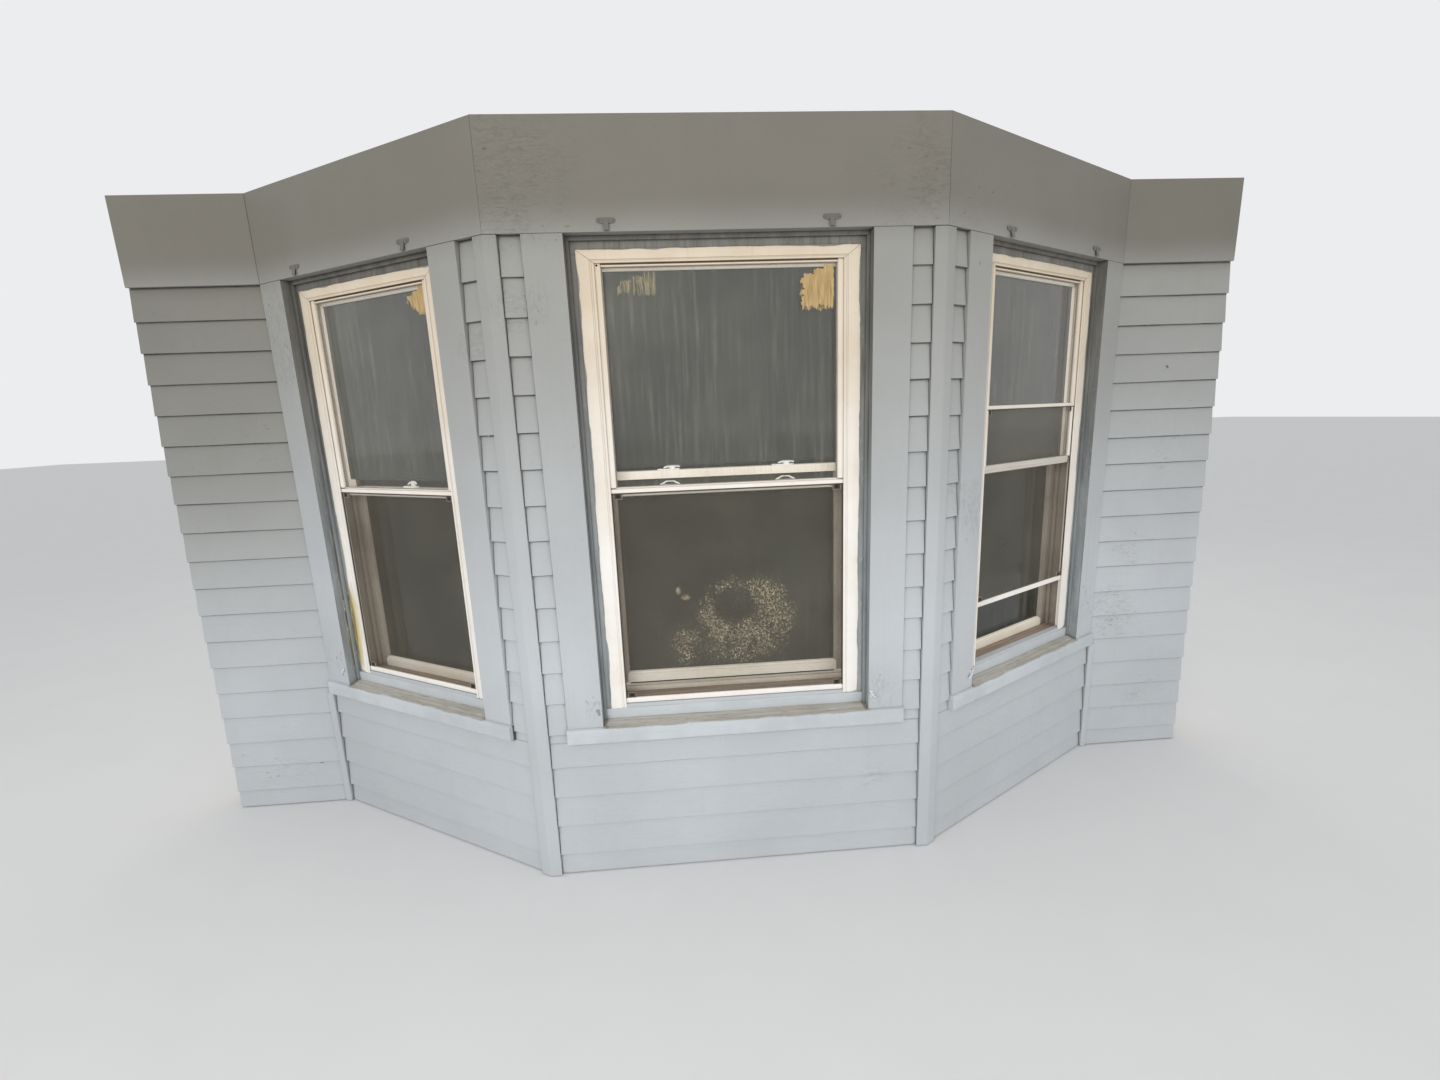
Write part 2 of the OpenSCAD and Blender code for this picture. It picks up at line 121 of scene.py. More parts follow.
def every(roll, x, end, pitch, error):
    """Places from x to the end, about one pitch apart, each drawn only when it is asked for."""
    while x < end:
        yield x
        x += pitch + roll.uniform(-error, error)


# ---------------------------------------------------------------- nodes
def rgb(r, g, b):
    """Linear colour from display values of 0 to 255."""
    def linear(v):
        v /= 255
        return v / 12.92 if v <= 0.04045 else ((v + 0.055) / 1.055) ** 2.4
    return (linear(r), linear(g), linear(b), 1.0)


def shaded(colour, k):
    """The colour with its light scaled."""
    return tuple(min(1.0, c * k) for c in colour[:3]) + (1.0,)


class Field:
    """A node's output, which adds and multiplies like a number."""

    def __init__(self, nodes, socket):
        self.nodes, self.socket = nodes, socket

    def __add__(self, other):
        return self.nodes.math("ADD", self, other)

    def __mul__(self, other):
        return self.nodes.math("MULTIPLY", self, other)

    def __sub__(self, other):
        return self.nodes.math("SUBTRACT", self, other)

    def __rsub__(self, other):
        return self.nodes.math("SUBTRACT", other, self)

    def __abs__(self):
        return self.nodes.math("ABSOLUTE", self)

    def max(self, other):
        return self.nodes.math("MAXIMUM", self, other)


class Nodes:
    """The nodes of a material or world, added as expressions."""

    def __init__(self, name, store=bpy.data.materials):
        self.owner = store.new(name)
        self.owner.use_nodes = True
        self.tree = self.owner.node_tree
        self.tree.nodes.clear()

    def node(self, kind, inputs=(), **settings):
        node = self.tree.nodes.new("ShaderNode" + kind)
        for key, value in settings.items():
            setattr(node, key, value)
        for key, value in dict(inputs).items():
            if isinstance(value, Field):
                self.tree.links.new(value.socket, node.inputs[key])
            else:
                node.inputs[key].default_value = value
        return node

    def add(self, kind, inputs=(), out=0, **settings):
        return Field(self, self.node(kind, inputs, **settings).outputs[out])

    def place(self):
        return self.add("TexCoord", out="Object")

    def position(self):
        return self.add("NewGeometry", out="Position")

    def axes(self, vector):
        return [Field(self, out) for out in self.node("SeparateXYZ", {0: vector}).outputs]

    def noise(self, vector, scale, detail=3.0, rough=0.55, distort=0.0):
        return self.add("TexNoise", {"Vector": vector, "Scale": scale, "Detail": detail,
                                     "Roughness": rough, "Distortion": distort})

    def grain(self, vector, scales, detail=3.0, rough=0.55, distort=0.0):
        """Noise with a scale of its own along each axis."""
        vector = self.add("VectorMath", {0: vector, 1: scales}, operation="MULTIPLY")
        return self.noise(vector, 1.0, detail, rough, distort)

    def far(self, vector, middle, reach):
        """Distance from a middle, where 1 is the reach along each axis."""
        spot = self.add("VectorMath", {0: vector, 1: [-c for c in middle]}, operation="ADD")
        spot = self.add("VectorMath", {0: spot, 1: [1 / r for r in reach]}, operation="MULTIPLY")
        return self.add("VectorMath", {0: spot}, out="Value", operation="LENGTH")

    def math(self, kind, a, b=0.0, clamp=False):
        return self.add("Math", {0: a, 1: b}, operation=kind, use_clamp=clamp)

    def step(self, value, low, high, top=1.0):
        """0 at low and top at high, with a soft step between them."""
        return self.add("MapRange", {"Value": value, "From Min": low, "From Max": high,
                                     "To Max": top}, interpolation_type="SMOOTHSTEP")

    def mix(self, factor, a, b, kind="MIX"):
        return self.add("Mix", {0: factor, 6: a, 7: b}, out=2, data_type="RGBA", blend_type=kind)

    def coats(self, colour, *coats):
        """Lays coats over a colour, each a mask and a tint."""
        for mask, tint in coats:
            colour = self.mix(mask, colour, tint)
        return colour

    def tag(self, name):
        return self.add("Attribute", out="Fac", attribute_name=name)

    def bump(self, height, strength, distance):
        return self.add("Bump", {"Height": height, "Strength": strength, "Distance": distance})

    def crevice(self, distance, low=0.3, high=0.9):
        """1 in corners and gaps, 0 on open faces, from ambient occlusion: the mask of painted
        shade.
        """
        near = self.add("AmbientOcclusion", {"Distance": distance}, out="AO", samples=4)
        return 1.0 - self.step(near, low, high)

    def grime(self, colour, low, high, tint):
        """Painted shade: darkens and tints the colour more and more from the lower height to the
        higher one.
        """
        up = self.axes(self.position())[2]
        return self.mix(self.step(up, low, high), colour, tint + (1.0,), "MULTIPLY")

    def sheen_of_glass(self, ior):
        """Mirror share of a pane's outer faces. Inner faces send nothing back, since the panes
        don't bend light."""
        outer = 1.0 - self.add("NewGeometry", out="Backfacing")
        return self.add("Fresnel", {"IOR": ior}) * outer

    def blend(self, factor, a, b):
        return self.add("MixShader", {0: factor, 1: a, 2: b})

    def skin(self, colour, rough, normal=None, specular=0.5):
        inputs = {"Base Color": colour, "Roughness": rough, "Specular IOR Level": specular}
        if normal:
            inputs["Normal"] = normal
        return self.add("BsdfPrincipled", inputs)

    def output(self, shader, kind="OutputMaterial"):
        self.node(kind, {"Surface": shader})
        return self.owner

    def finish(self, *skin):
        return self.output(self.skin(*skin))


# ---------------------------------------------------------------- camera, floor and light
def camera():
    """The camera that was fitted to the photo."""
    yaw, pitch, roll = 0.06213960, 0.20322398, -0.03869223
    place, focal_px, width_px, sensor = (-0.1504, -2.3810, 1.5290), 606.3584, 1440, 36
    forward = Vector((math.sin(yaw) * math.cos(pitch), math.cos(yaw) * math.cos(pitch),
                      -math.sin(pitch)))
    right = Vector((math.cos(yaw), -math.sin(yaw), 0))
    up = right.cross(forward)
    x = right * math.cos(roll) + up * math.sin(roll)
    y = up * math.cos(roll) - right * math.sin(roll)
    data = bpy.data.cameras.new("camera")
    data.sensor_width = sensor
    data.lens = focal_px * sensor / width_px
    data.clip_start, data.clip_end = 0.05, 200
    cam = bpy.data.objects.new("camera", data)
    scene.collection.objects.link(cam)
    turn = Matrix((x, y, -forward)).transposed().to_4x4()
    cam.matrix_world = Matrix.Translation(place) @ turn
    scene.camera = cam


def lamp(name, size_x, size_y, power, place, aim):
    data = bpy.data.lights.new(name, "AREA")
    data.shape = "RECTANGLE"
    data.size, data.size_y, data.energy = size_x, size_y, power
    obj = bpy.data.objects.new(name, data)
    scene.collection.objects.link(obj)
    obj.location = place
    obj.rotation_euler = (Vector(aim) - Vector(place)).to_track_quat("-Z", "Y").to_euler()
    obj.visible_glossy = False


def stage():
    n = Nodes("stage_floor")
    speck = n.noise(n.place(), 3.0)
    material = n.finish(n.mix(speck, rgb(226, 226, 225), rgb(231, 231, 230)), 0.85)
    mesh = bpy.data.meshes.new("floor")
    mesh.from_pydata([(-40, -40, 0), (40, -40, 0), (40, 40, 0), (-40, 40, 0)], [], [(0, 1, 2, 3)])
    mesh.materials.append(material)
    floor = bpy.data.objects.new("floor", mesh)
    scene.collection.objects.link(floor)

    # The world lights softly, and shows plain pale grey
    n = Nodes("studio", bpy.data.worlds)
    seen = n.math("ADD", n.add("LightPath", out="Is Camera Ray"),
                  n.add("LightPath", out="Is Glossy Ray"), True)
    seen = n.math("ADD", seen, n.add("LightPath", out="Is Transmission Ray"), True)
    light = n.add("Background", {"Color": (0.97, 0.98, 1.0, 1), "Strength": 0.68})
    shown = n.add("Background", {"Color": rgb(236, 237, 238)})
    scene.world = n.output(n.blend(seen, light, shown), "OutputWorld")

    lamp("key", 3.2, 1.6, 92, (-1.7, -4.6, 2.9), (0, 0, 1.0))
    lamp("fill", 3.0, 2.0, 42, (2.8, -4.8, 1.5), (0, 0, 0.9))
    lamp("back", 4.0, 2.0, 45, (0.5, 4.8, 2.2), (0, 0, 1.1))
    scene.view_settings.view_transform = "Standard"


# ---------------------------------------------------------------- meshes
def wall_matrix(wall, x0):
    """Frame of a wall, with its origin x0 along it; wall None is the part's own frame."""
    if wall is None:
        return Matrix.Identity(4)
    turn = math.radians(HEADING[wall])
    x, y = PLAN[wall]
    at = Vector((x + x0 * math.cos(turn), y + x0 * math.sin(turn), 0)) * MM
    return Matrix.Translation(at) @ Matrix.Rotation(turn, 4, "Z")


def rect(p0, p1, q0, q1):
    return [(p0, q0), (p1, q0), (p1, q1), (p0, q1)]


def circle(p, q, rp, rq, sides):
    return [(p + rp * math.cos(2 * math.pi * k / sides), q + rq * math.sin(2 * math.pi * k / sides))
            for k in range(sides)]


def rounded(points, corners):
    """A profile with some corners rounded: corners maps an index to a radius."""
    out = []
    for k, p in enumerate(points):
        r = corners.get(k, 0)
        if not r:
            out.append(p)
            continue
        before, after = Vector(points[k - 1]), Vector(points[(k + 1) % len(points)])
        here = Vector(p)
        a, b = (before - here).normalized() * r, (after - here).normalized() * r
        for t in (0.0, 0.25, 0.5, 0.75, 1.0):
            out.append(tuple(here + a * (1 - t) ** 2 + b * t ** 2))
    return out


class Shape:
    """Closed solids of one piece, in a wall's own frame: x along the wall, y inward, z up."""

    def __init__(self):
        self.verts, self.faces, self.slots, self.rim = [], [], [], []

    def skin(self, first, count, rows, mat):
        """Faces of a tube of point rings, with its two ends."""
        for row in range(rows):
            for k in range(count):
                a, b = first + row * count + k, first + row * count + (k + 1) % count
                self.faces.append((a, b, b + count, a + count))
        self.faces.append(tuple(range(first + count - 1, first - 1, -1)))
        self.faces.append(tuple(range(first + rows * count, first + (rows + 1) * count)))
        self.slots += [mat] * (rows * count + 2)

    def prism(self, axis, profile, a0, a1, step=0.0, edge=0.0, mat=0, rim=None):
        """Extrudes a closed profile of the other axes; an end is a number or a function of them."""
        points = []
        for k, p in enumerate(profile):
            q = profile[(k + 1) % len(profile)]
            parts = max(1, math.ceil(math.dist(p, q) / edge)) if edge else 1
            points += [(p[0] + (q[0] - p[0]) * t / parts, p[1] + (q[1] - p[1]) * t / parts)
                       for t in range(parts)]
        low = [a0(*p) if callable(a0) else a0 for p in points]
        high = [a1(*p) if callable(a1) else a1 for p in points]
        tall = max(abs(h - l) for l, h in zip(low, high))
        rows = max(1, math.ceil(tall / step)) if step else 1
        first = len(self.verts)
        for row in range(rows + 1):
            t = row / rows
            for (p, q), l, h in zip(points, low, high):
                a = l + (h - l) * t
                self.verts.append({"x": (a, p, q), "y": (p, a, q), "z": (p, q, a)}[axis])
                self.rim.append(rim(p, q) if rim else 1.0)
        self.skin(first, len(points), rows, mat)
        return range(first, len(self.verts))

    def box(self, x0, x1, y0, y1, z0, z1, step=0.0, mat=0):
        self.prism("x", rect(y0, y1, z0, z1), x0, x1, step, mat=mat)

    def across(self, reach, y0, y1, z0, z1, step=0.0, mat=0):
        """A bar across the middle, as far out on both sides."""
        self.box(-reach, reach, y0, y1, z0, z1, step, mat)

    def mirrored(self, profile, z0, z1, step=0.0, mat=0):
        """Uprights of one profile on both sides of the middle."""
        for s in (-1, 1):
            self.prism("z", [(s * p, q) for p, q in profile], z0, z1, step, mat=mat)

    def pair(self, x0, x1, y0, y1, z0, z1, step=0.0, mat=0):
        """A square upright on both sides of the middle."""
        self.mirrored(rect(x0, x1, y0, y1), z0, z1, step, mat)

    def tube(self, path, radii, sides=8, mat=0):
        """A round bar along a path of points."""
        first, last = len(self.verts), len(path) - 1
        for k, (p, r) in enumerate(zip(path, radii)):
            ahead = Vector(path[min(k + 1, last)]) - Vector(path[max(k - 1, 0)])
            side = ahead.cross(Vector((0.31, 0.17, 0.93))).normalized()
            other = ahead.cross(side).normalized()
            for c, s in circle(0, 0, r, r, sides):
                self.verts.append(tuple(Vector(p) + side * c + other * s))
                self.rim.append(1.0)
        self.skin(first, sides, last, mat)

    def disc(self, x, y, z, radius, height, sides=10, mat=0):
        """A low dome that stands out of a face towards the viewer."""
        first = self.prism("y", circle(x, z, radius, radius, sides), y - height, y + 2, mat=mat)[0]
        for k in range(first, first + sides):
            vx, vy, vz = self.verts[k]
            self.verts[k] = (x + (vx - x) * 0.6, vy, z + (vz - z) * 0.6)

    def shake(self, size, pitch, seed, spread=(0.25, 1.0, 0.25)):
        """Moves the vertices a little, smoothly over the given pitch."""
        for k, v in enumerate(self.verts):
            at = Vector(v) / pitch + Vector((seed * 3.7, seed * 1.3, seed * 7.1))
            push = [noise.noise(at + Vector((0, 0, 31.7 * axis))) for axis in range(3)]
            self.verts[k] = tuple(c + size * f * p for c, f, p in zip(v, spread, push))

    def shade_edges(self, first, half):
        """Gives the darker edge paint, which paints shade on them, to the faces from the first that
        stand at the opening.
        """
        for k in range(first, len(self.faces)):
            face = self.faces[k]
            if len(face) == 4 and all(abs(abs(self.verts[v][0]) - half) < 0.1 for v in face):
                self.slots[k] = 1

    def make(self, name, wall, x0, looks, stands_for=(), bevel=1.0):
        mesh = bpy.data.meshes.new(name)
        if wall is not None:
            # Nothing leaves the CAD's box: the wall stubs' ends, the sills' noses, floor and top
            x_min = 0.3 - x0 if wall == 0 else -math.inf
            x_max = WING - 0.3 - x0 if wall == 4 else math.inf
            self.verts = [(min(max(x, x_min), x_max), max(y, EASE - NOSE),
                           min(max(z, 0.0), WALL_H - EASE)) for x, y, z in self.verts]
        mesh.from_pydata([tuple(c * MM for c in v) for v in self.verts], [], self.faces)
        for look in looks.split():
            mesh.materials.append(LOOKS[look])
        mesh.polygons.foreach_set("material_index", self.slots)
        wear = [max(0.0, worn(wall, x + x0, z)) for x, y, z in self.verts]
        for key, values in (("rim", self.rim), ("worn", wear)):
            mesh.attributes.new(key, "FLOAT", "POINT").data.foreach_set("value", values)
        work = bmesh.new()
        work.from_mesh(mesh)
        bmesh.ops.recalc_face_normals(work, faces=work.faces)
        work.to_mesh(mesh)
        work.free()
        mesh.shade_smooth()
        mesh.set_sharp_from_angle(angle=math.radians(35))
        obj = bpy.data.objects.new(name, mesh)
        scene.collection.objects.link(obj)
        obj.matrix_world = wall_matrix(wall, x0)
        if bevel:
            modifier = obj.modifiers.new("edges", "BEVEL")
            modifier.width = bevel * MM
            modifier.segments = 2
            modifier.limit_method = "ANGLE"
            modifier.angle_limit = math.radians(40)
            modifier.harden_normals = True
        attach(obj, "root")
        if stands_for:
            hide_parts(*stands_for)
        return obj

    def fit(self, name, wall, looks, stands_for=(), bevel=1.0):
        """Makes a piece of a window; {} in a node's name is the window's side."""
        nodes = [node.format(SIDE[wall]) for node in stands_for]
        return self.make(f"{SIDE[wall]}_{name}", wall, WIN_X[wall], looks, nodes, bevel)


# ---------------------------------------------------------------- materials
PAINT = rgb(190, 194, 197)


def paint(name, along, base=PAINT, age=1.0, sooty=False):
    """Old house paint over timber; along is the grain's axis. Where the mesh says that it is worn,
    the paint has wrinkled, with painted shade in its dips and painted highlights on its crests; rim
    0 is the painted shadow line under a clapboard's butt. Painted shade darkens it higher up, and
    the left wing's kind darkens from low down as well."""
    n = Nodes(name)
    co, world = n.place(), n.position()

    def long(a, b):
        return (a, b, b) if along == "x" else (b, b, a)

    grain = n.grain(co, long(3, 120), 4.0, 0.62)
    brush = n.grain(co, long(9, 420), 2.0)
    patch = n.noise(world, 1.7, 4.0)
    runs = n.grain(world, (38, 38, 1.6), 3.0, 0.6)
    # Wrinkled paint, and flakes down to grey wood
    wrinkle = n.grain(co, long(34, 105), 4.0, 0.62, 1.2)
    uneven = (n.noise(world, 9.0, 4.0, 0.6) - 0.5) * 1.3
    wrinkled = n.step(n.tag("worn") + uneven, 0.22, 0.70) * n.step(n.tag("worn"), 0.0, 0.12)
    flake = n.grain(co, long(18, 70), 5.0, 0.7)
    bare = n.step(flake + wrinkled * 0.045, 0.735, 0.75, age)
    colour = n.coats(
        n.mix(n.step(patch, 0.30, 0.72), shaded(base, 1.03), shaded(base, 0.93)),
        (n.step(runs, 0.52, 0.82, 0.26 * age), (base[0] * 0.92, base[1] * 0.88, base[2] * 0.81, 1)),
        (n.step(grain, 0.58, 0.76, 0.18 * age), shaded(base, 0.80)),
        (n.step(n.noise(world, 240.0, 2.0), 0.66, 0.74, 0.30 * age), rgb(128, 128, 122)),
        # Painted shade in the wrinkles' dips and painted highlights on their crests
        (n.step(wrinkle, 0.50, 0.38) * wrinkled * 0.24, shaded(base, 0.45)),
        (n.step(wrinkle, 0.56, 0.66) * wrinkled * 0.30, shaded(base, 1.20)),
        (bare, rgb(150, 142, 128)))
    # The left wing's kind: painted shade from low down as well
    if sooty:
        colour = n.grime(colour, 0.35, 1.50, (0.70, 0.68, 0.64))
    # Painted shade: darker and warmer higher up, most on the frieze
    colour = n.grime(colour, 0.70, 2.05, (0.61, 0.58, 0.52))
    colour = n.grime(colour, 1.97, 2.14, (0.60, 0.565, 0.51))
    # Painted shadow under the butts, stronger higher up, and painted shade in the corners between
    # boards
    line = (1.0 - n.tag("rim")) * (n.step(n.axes(world)[2], 0.5, 1.5, 0.5) + 0.42)
    line = line * (n.step(n.noise(world, 5.0), 0.35, 0.65, 0.35) + 0.65)
    corner = n.crevice(0.016, 0.25, 0.80) * (0.66 * age)
    butt_and_corner_shade = n.mix(n.noise(world, 24.0), rgb(58, 55, 48), rgb(88, 86, 78))
    colour = n.mix(line.max(corner), colour, butt_and_corner_shade)
    height = (grain * 0.70 + brush * 0.30 - bare * 0.5 + n.noise(world, 48.0) * 0.85
              + wrinkle * wrinkled * 5.5)
    return n.finish(colour, patch * 0.22 + 0.44, n.bump(height, 0.5 * age, 0.0011), 0.35)


def recess_paint(name, light, dark, brown, stain=False):
    """Slate paint in the grooves beside the windows, with brown dirt and lumps, and painted shade
    that darkens it higher up and in its corners.
    """
    n = Nodes(name)
    co, world = n.place(), n.position()
    grain = n.grain(co, (90, 90, 3), 4.0, 0.62)
    patch = n.grain(world, (22, 22, 4), 4.0, 0.6)
    lumps = n.grain(world, (80, 80, 34), 3.0, 0.5)
    streak = n.grain(world, (60, 60, 2.2), 4.0, 0.65)
    colour = n.coats(n.mix(n.step(patch, 0.32, 0.70), light, dark),
                     (n.step(grain, 0.52, 0.72, 0.6), shaded(dark, 0.66)),
                     (n.step(streak, 0.54, 0.70, brown), rgb(106, 92, 74)),
                     (n.step(lumps, 0.62, 0.72, 0.5), shaded(light, 1.16)))
    # Painted shade: darker and browner higher up
    colour = n.grime(colour, 0.85, 1.95, (0.52, 0.475, 0.415))
    if stain:
        ragged = n.grain(co, (90, 90, 12), 5.0, 0.7)
        far = n.far(co, (-0.352, 0.04, 0.77), (0.05, 0.06, 0.18))
        mask = n.step(far + (ragged - 0.5) * 1.8, 1.1, 0.5, 0.9)
        moss = n.mix(n.step(ragged, 0.42, 0.60), rgb(104, 92, 58), rgb(186, 168, 104))
        chip = mask * n.step(n.grain(co, (160, 160, 30), 4.0, 0.7), 0.58, 0.62)
        colour = n.coats(colour, (mask, moss), (chip, rgb(226, 224, 212)))
    # Painted shade in corners and gaps
    colour = n.mix(n.crevice(0.014) * 0.55, colour, rgb(58, 53, 46))
    return n.finish(colour, patch * 0.2 + 0.5, n.bump(grain + lumps * 1.6, 0.6, 0.0016), 0.35)


def storm_metal(name, stains=(), lap=True):
    """Cream enamelled aluminium, with the wall's paint lapped over its outer rim; painted shade
    darkens it in its corners and higher up.
    """
    n = Nodes(name)
    co = n.place()
    patch = n.noise(co, 5.0, 4.0, 0.6)
    runs = n.grain(co, (60, 60, 2.0), 4.0, 0.65)
    colour = n.coats(
        n.mix(n.step(patch, 0.35, 0.70), rgb(246, 242, 236), rgb(237, 230, 219)),
        (n.step(runs, 0.55, 0.80, 0.30), rgb(214, 200, 180)),
        (n.step(n.noise(co, 330.0, 2.0), 0.68, 0.75, 0.4), rgb(150, 142, 128)),
        # painted shade in corners and slots
        (n.crevice(0.008) * 0.65, rgb(112, 98, 82)))
    # Painted shade: darker and warmer higher up
    colour = n.grime(colour, 1.0, 2.0, (0.77, 0.69, 0.575))
    for middle, reach, tint in stains:
        far = n.far(co, middle, reach) + (n.grain(co, (70, 70, 9), 4.0, 0.6) - 0.5) * 1.5
        colour = n.mix(n.step(far, 1.1, 0.45, 0.92), colour, tint)
    height = n.grain(co, (240, 240, 14), 2.0) * 0.18
    if lap:
        wave = n.grain(co, (9, 9, 9), 2.0, 0.5)
        ragged = n.grain(co, (60, 60, 60), 3.0, 0.6)
        edge = n.step(wave, 0.34, 0.70) * 0.0058 + (ragged - 0.5) * 0.0034
        over = n.step(n.tag("rim") - edge, 0.0005, -0.0005)
        slate = n.mix(patch, rgb(146, 151, 153), rgb(168, 172, 174))
        # The lapped paint gets the same painted shade higher up
        colour = n.mix(over, colour, n.grime(slate, 0.85, 1.95, (0.66, 0.61, 0.53)))
        height = height + over * 0.9
    return n.finish(colour, runs * 0.25 + 0.30, n.bump(height, 0.35, 0.0008))


def vinyl(name, base, dark):
    """Off-white sash frames and inside trim, with painted shade in their corners."""
    n = Nodes(name)
    co = n.place()
    patch = n.noise(co, 6.0, 4.0, 0.6)
    runs = n.grain(co, (70, 70, 3), 4.0, 0.6)
    colour = n.coats(n.mix(n.step(patch, 0.35, 0.7), base, dark),
                     (n.step(runs, 0.56, 0.8, 0.4), shaded(dark, 0.8)),
                     # painted shade in corners
                     (n.crevice(0.012) * 0.5, rgb(112, 100, 84)))
    height = n.grain(co, (300, 300, 10))
    return n.finish(colour, patch * 0.2 + 0.34, n.bump(height, 0.25, 0.0006), 0.45)


def bare_wood(n, co):
    """Colour and height of weathered grey timber."""
    grain = n.grain(co, (3.2, 95, 95), 6.0, 0.66, 0.3)
    fine = n.grain(co, (10.56, 313.5, 313.5), 4.0, 0.6)
    blot = n.grain(co, (16, 60, 60), 4.0, 0.6)
    colour = n.coats(n.mix(n.step(grain, 0.34, 0.66), rgb(160, 154, 143), rgb(192, 188, 180)),
                     (n.step(n.noise(co, 7.0, 4.0, 0.6), 0.40, 0.70, 0.7), rgb(180, 178, 170)),
                     (n.step(blot, 0.56, 0.72, 0.6), rgb(136, 124, 106)),
                     (n.step(fine, 0.60, 0.68, 0.70), rgb(100, 92, 82)))
    return colour, grain + fine * 0.5


def sill_paint(name, half):
    """Sill paint, worn to bare grey wood on the slope between the casings."""
    n = Nodes(name)
    co = n.place()
    x, y, _ = n.axes(co)
    ragged = n.grain(co, (34, 60, 60), 5.0, 0.65) - 0.5
    wave = n.grain(co, (7, 7, 7), 2.0) - 0.5
    grain = n.grain(co, (3, 120, 120), 4.0, 0.6)
    patch = n.step(n.noise(co, 5.0, 4.0, 0.6), 0.35, 0.7)
    tint = n.coats(n.mix(patch, rgb(199, 205, 208), rgb(186, 191, 194)),
                   (n.step(grain, 0.60, 0.78, 0.30), rgb(156, 156, 150)))
    wood, wood_height = bare_wood(n, co)
    inside = n.step(abs(x) + ragged * 0.05, (half - 1) * MM, (half - 5) * MM)
    back = n.step(y + ragged * 0.006, 0.0396, 0.0382)
    front = n.step(y + (ragged * 0.016 + wave * 0.020), -0.0080, -0.0060)
    top = n.step(n.axes(n.add("NewGeometry", out="Normal"))[2], 0.55, 0.75)
    film = n.step(n.grain(co, (9, 50, 50), 5.0, 0.65), 0.25, 0.35)
    flake = n.step(n.grain(co, (22, 60, 60), 5.0, 0.7), 0.715, 0.73)
    bare = (inside * back * (front * top) * film).max(flake)
    # Darker at the feet of the casings, and painted shade in the corners
    foot = n.step(abs(abs(x) + (0.004 - half * MM)) - ragged * 0.030, 0.014, 0.003, 0.62)
    foot = foot * n.step(y + ragged * 0.02, -0.010, 0.004)
    colour = n.coats(tint, (bare, wood), (foot * top, rgb(92, 82, 70)),
                     (n.crevice(0.016, 0.25, 0.85) * 0.6, rgb(96, 88, 76)))
    height = n.mix(bare, grain * 0.6, wood_height - 0.9)
    return n.finish(colour, bare * 0.35 + 0.48, n.bump(height, 0.6, 0.0012), 0.35)


def brushed(n, co, x0, x1, z0, z1, lean):
    """Mask of a brushed smear: ragged on its left, where its top falls in steps."""
    x, _, z = n.axes(co)
    jag = n.grain(co, (70, 1, 42), 4.0, 0.6) - 0.5
    loose = n.grain(co, (75, 1, 48), 5.0, 0.7) - 0.5
    wet = n.grain(co, (190, 1, 14), 5.0, 0.65)
    across = n.math("DIVIDE", x1 - x, x1 - x0)
    down = z1 - n.math("FLOOR", across * 3.4) * 0.012 - z
    left = down.max(0.0) * lean + x0
    sides = (n.step(x - left + jag * 0.045, 0.004, 0.006)
             * n.step(x1 - x + jag * 0.010, 0.0, 0.002))
    ends = n.step(z - z0 + loose * 0.075, 0.0, 0.016) * n.step(down + jag * 0.018, 0.0, 0.003)
    return sides * ends, wet


def storm_glass(name, smears):
    """Clear old glass: gloss, dust streaks and smears of dried sealant."""
    n = Nodes(name)
    co = n.place()
    streak = n.grain(co, (55, 1, 2.4), 4.0, 0.6)
    fine = n.grain(co, (260, 1, 11), 4.0, 0.65)
    dust = ((n.step(streak, 0.45, 0.80) + n.step(fine, 0.52, 0.72, 0.5))
            * n.step(n.noise(co, 4.0, 4.0, 0.6), 0.30, 0.75))
    wobble = n.grain(co, (6, 6, 2.4), 2.0)
    gloss = n.add("BsdfGlossy", {"Color": (1, 1, 1, 1), "Roughness": dust * 0.25 + 0.03,
                                 "Normal": n.bump(wobble, 0.12, 0.004)})
    film = n.add("BsdfDiffuse", {"Color": rgb(180, 178, 164)})
    body = n.blend(dust * 0.16 + 0.03, n.add("BsdfTransparent"), film)
    glass = n.blend(n.sheen_of_glass(1.45), body, gloss)
    for *reach, lean, cover, light, dark in smears:
        mask, wet = brushed(n, co, *reach, lean)
        laid = n.step(wet, 0.60 - 0.42 * cover, 0.72 - 0.38 * cover, min(1.0, cover * 1.3))
        smear = n.skin(n.mix(n.step(wet, 0.35, 0.65), dark, light), 0.6, n.bump(wet, 0.5, 0.0008))
        glass = n.blend(mask * laid, glass, smear)
    return n.output(glass)


def sash_glass(name, clear_below):
    """Panes painted with the dark of the room behind them, which is painted shade; their lighter
    clouds and dust streaks are painted reflection. They are clear only in the low band of the upper
    sash, where the lower sash's meeting rail and its locks stand close behind; the right window's
    are dark throughout."""
    n = Nodes(name)
    co = n.place()
    _, y, z = n.axes(co)
    streak = n.grain(co, (48, 48, 1.8), 4.0, 0.6)
    cloud = n.noise(co, 2.6)
    # Painted shade of the dark room, with painted reflection in the lighter clouds and streaks
    tint = n.coats(n.mix(n.step(cloud, 0.32, 0.70), rgb(50, 52, 47), rgb(70, 71, 63)),
                   (n.step(streak, 0.52, 0.82, 0.45), rgb(98, 97, 84)))
    wobble = n.grain(co, (5, 5, 2.2), 2.0)
    dark = n.skin(tint, streak * 0.08 + 0.04, n.bump(wobble, 0.15, 0.004))
    clear = n.blend(n.sheen_of_glass(1.3), n.add("BsdfTransparent"),
                    n.add("BsdfGlossy", {"Roughness": 0.04}))
    band = n.step(z, clear_below + 0.004, clear_below - 0.004) * n.step(y, 0.105, 0.100)
    return n.output(n.blend(band, dark, clear))


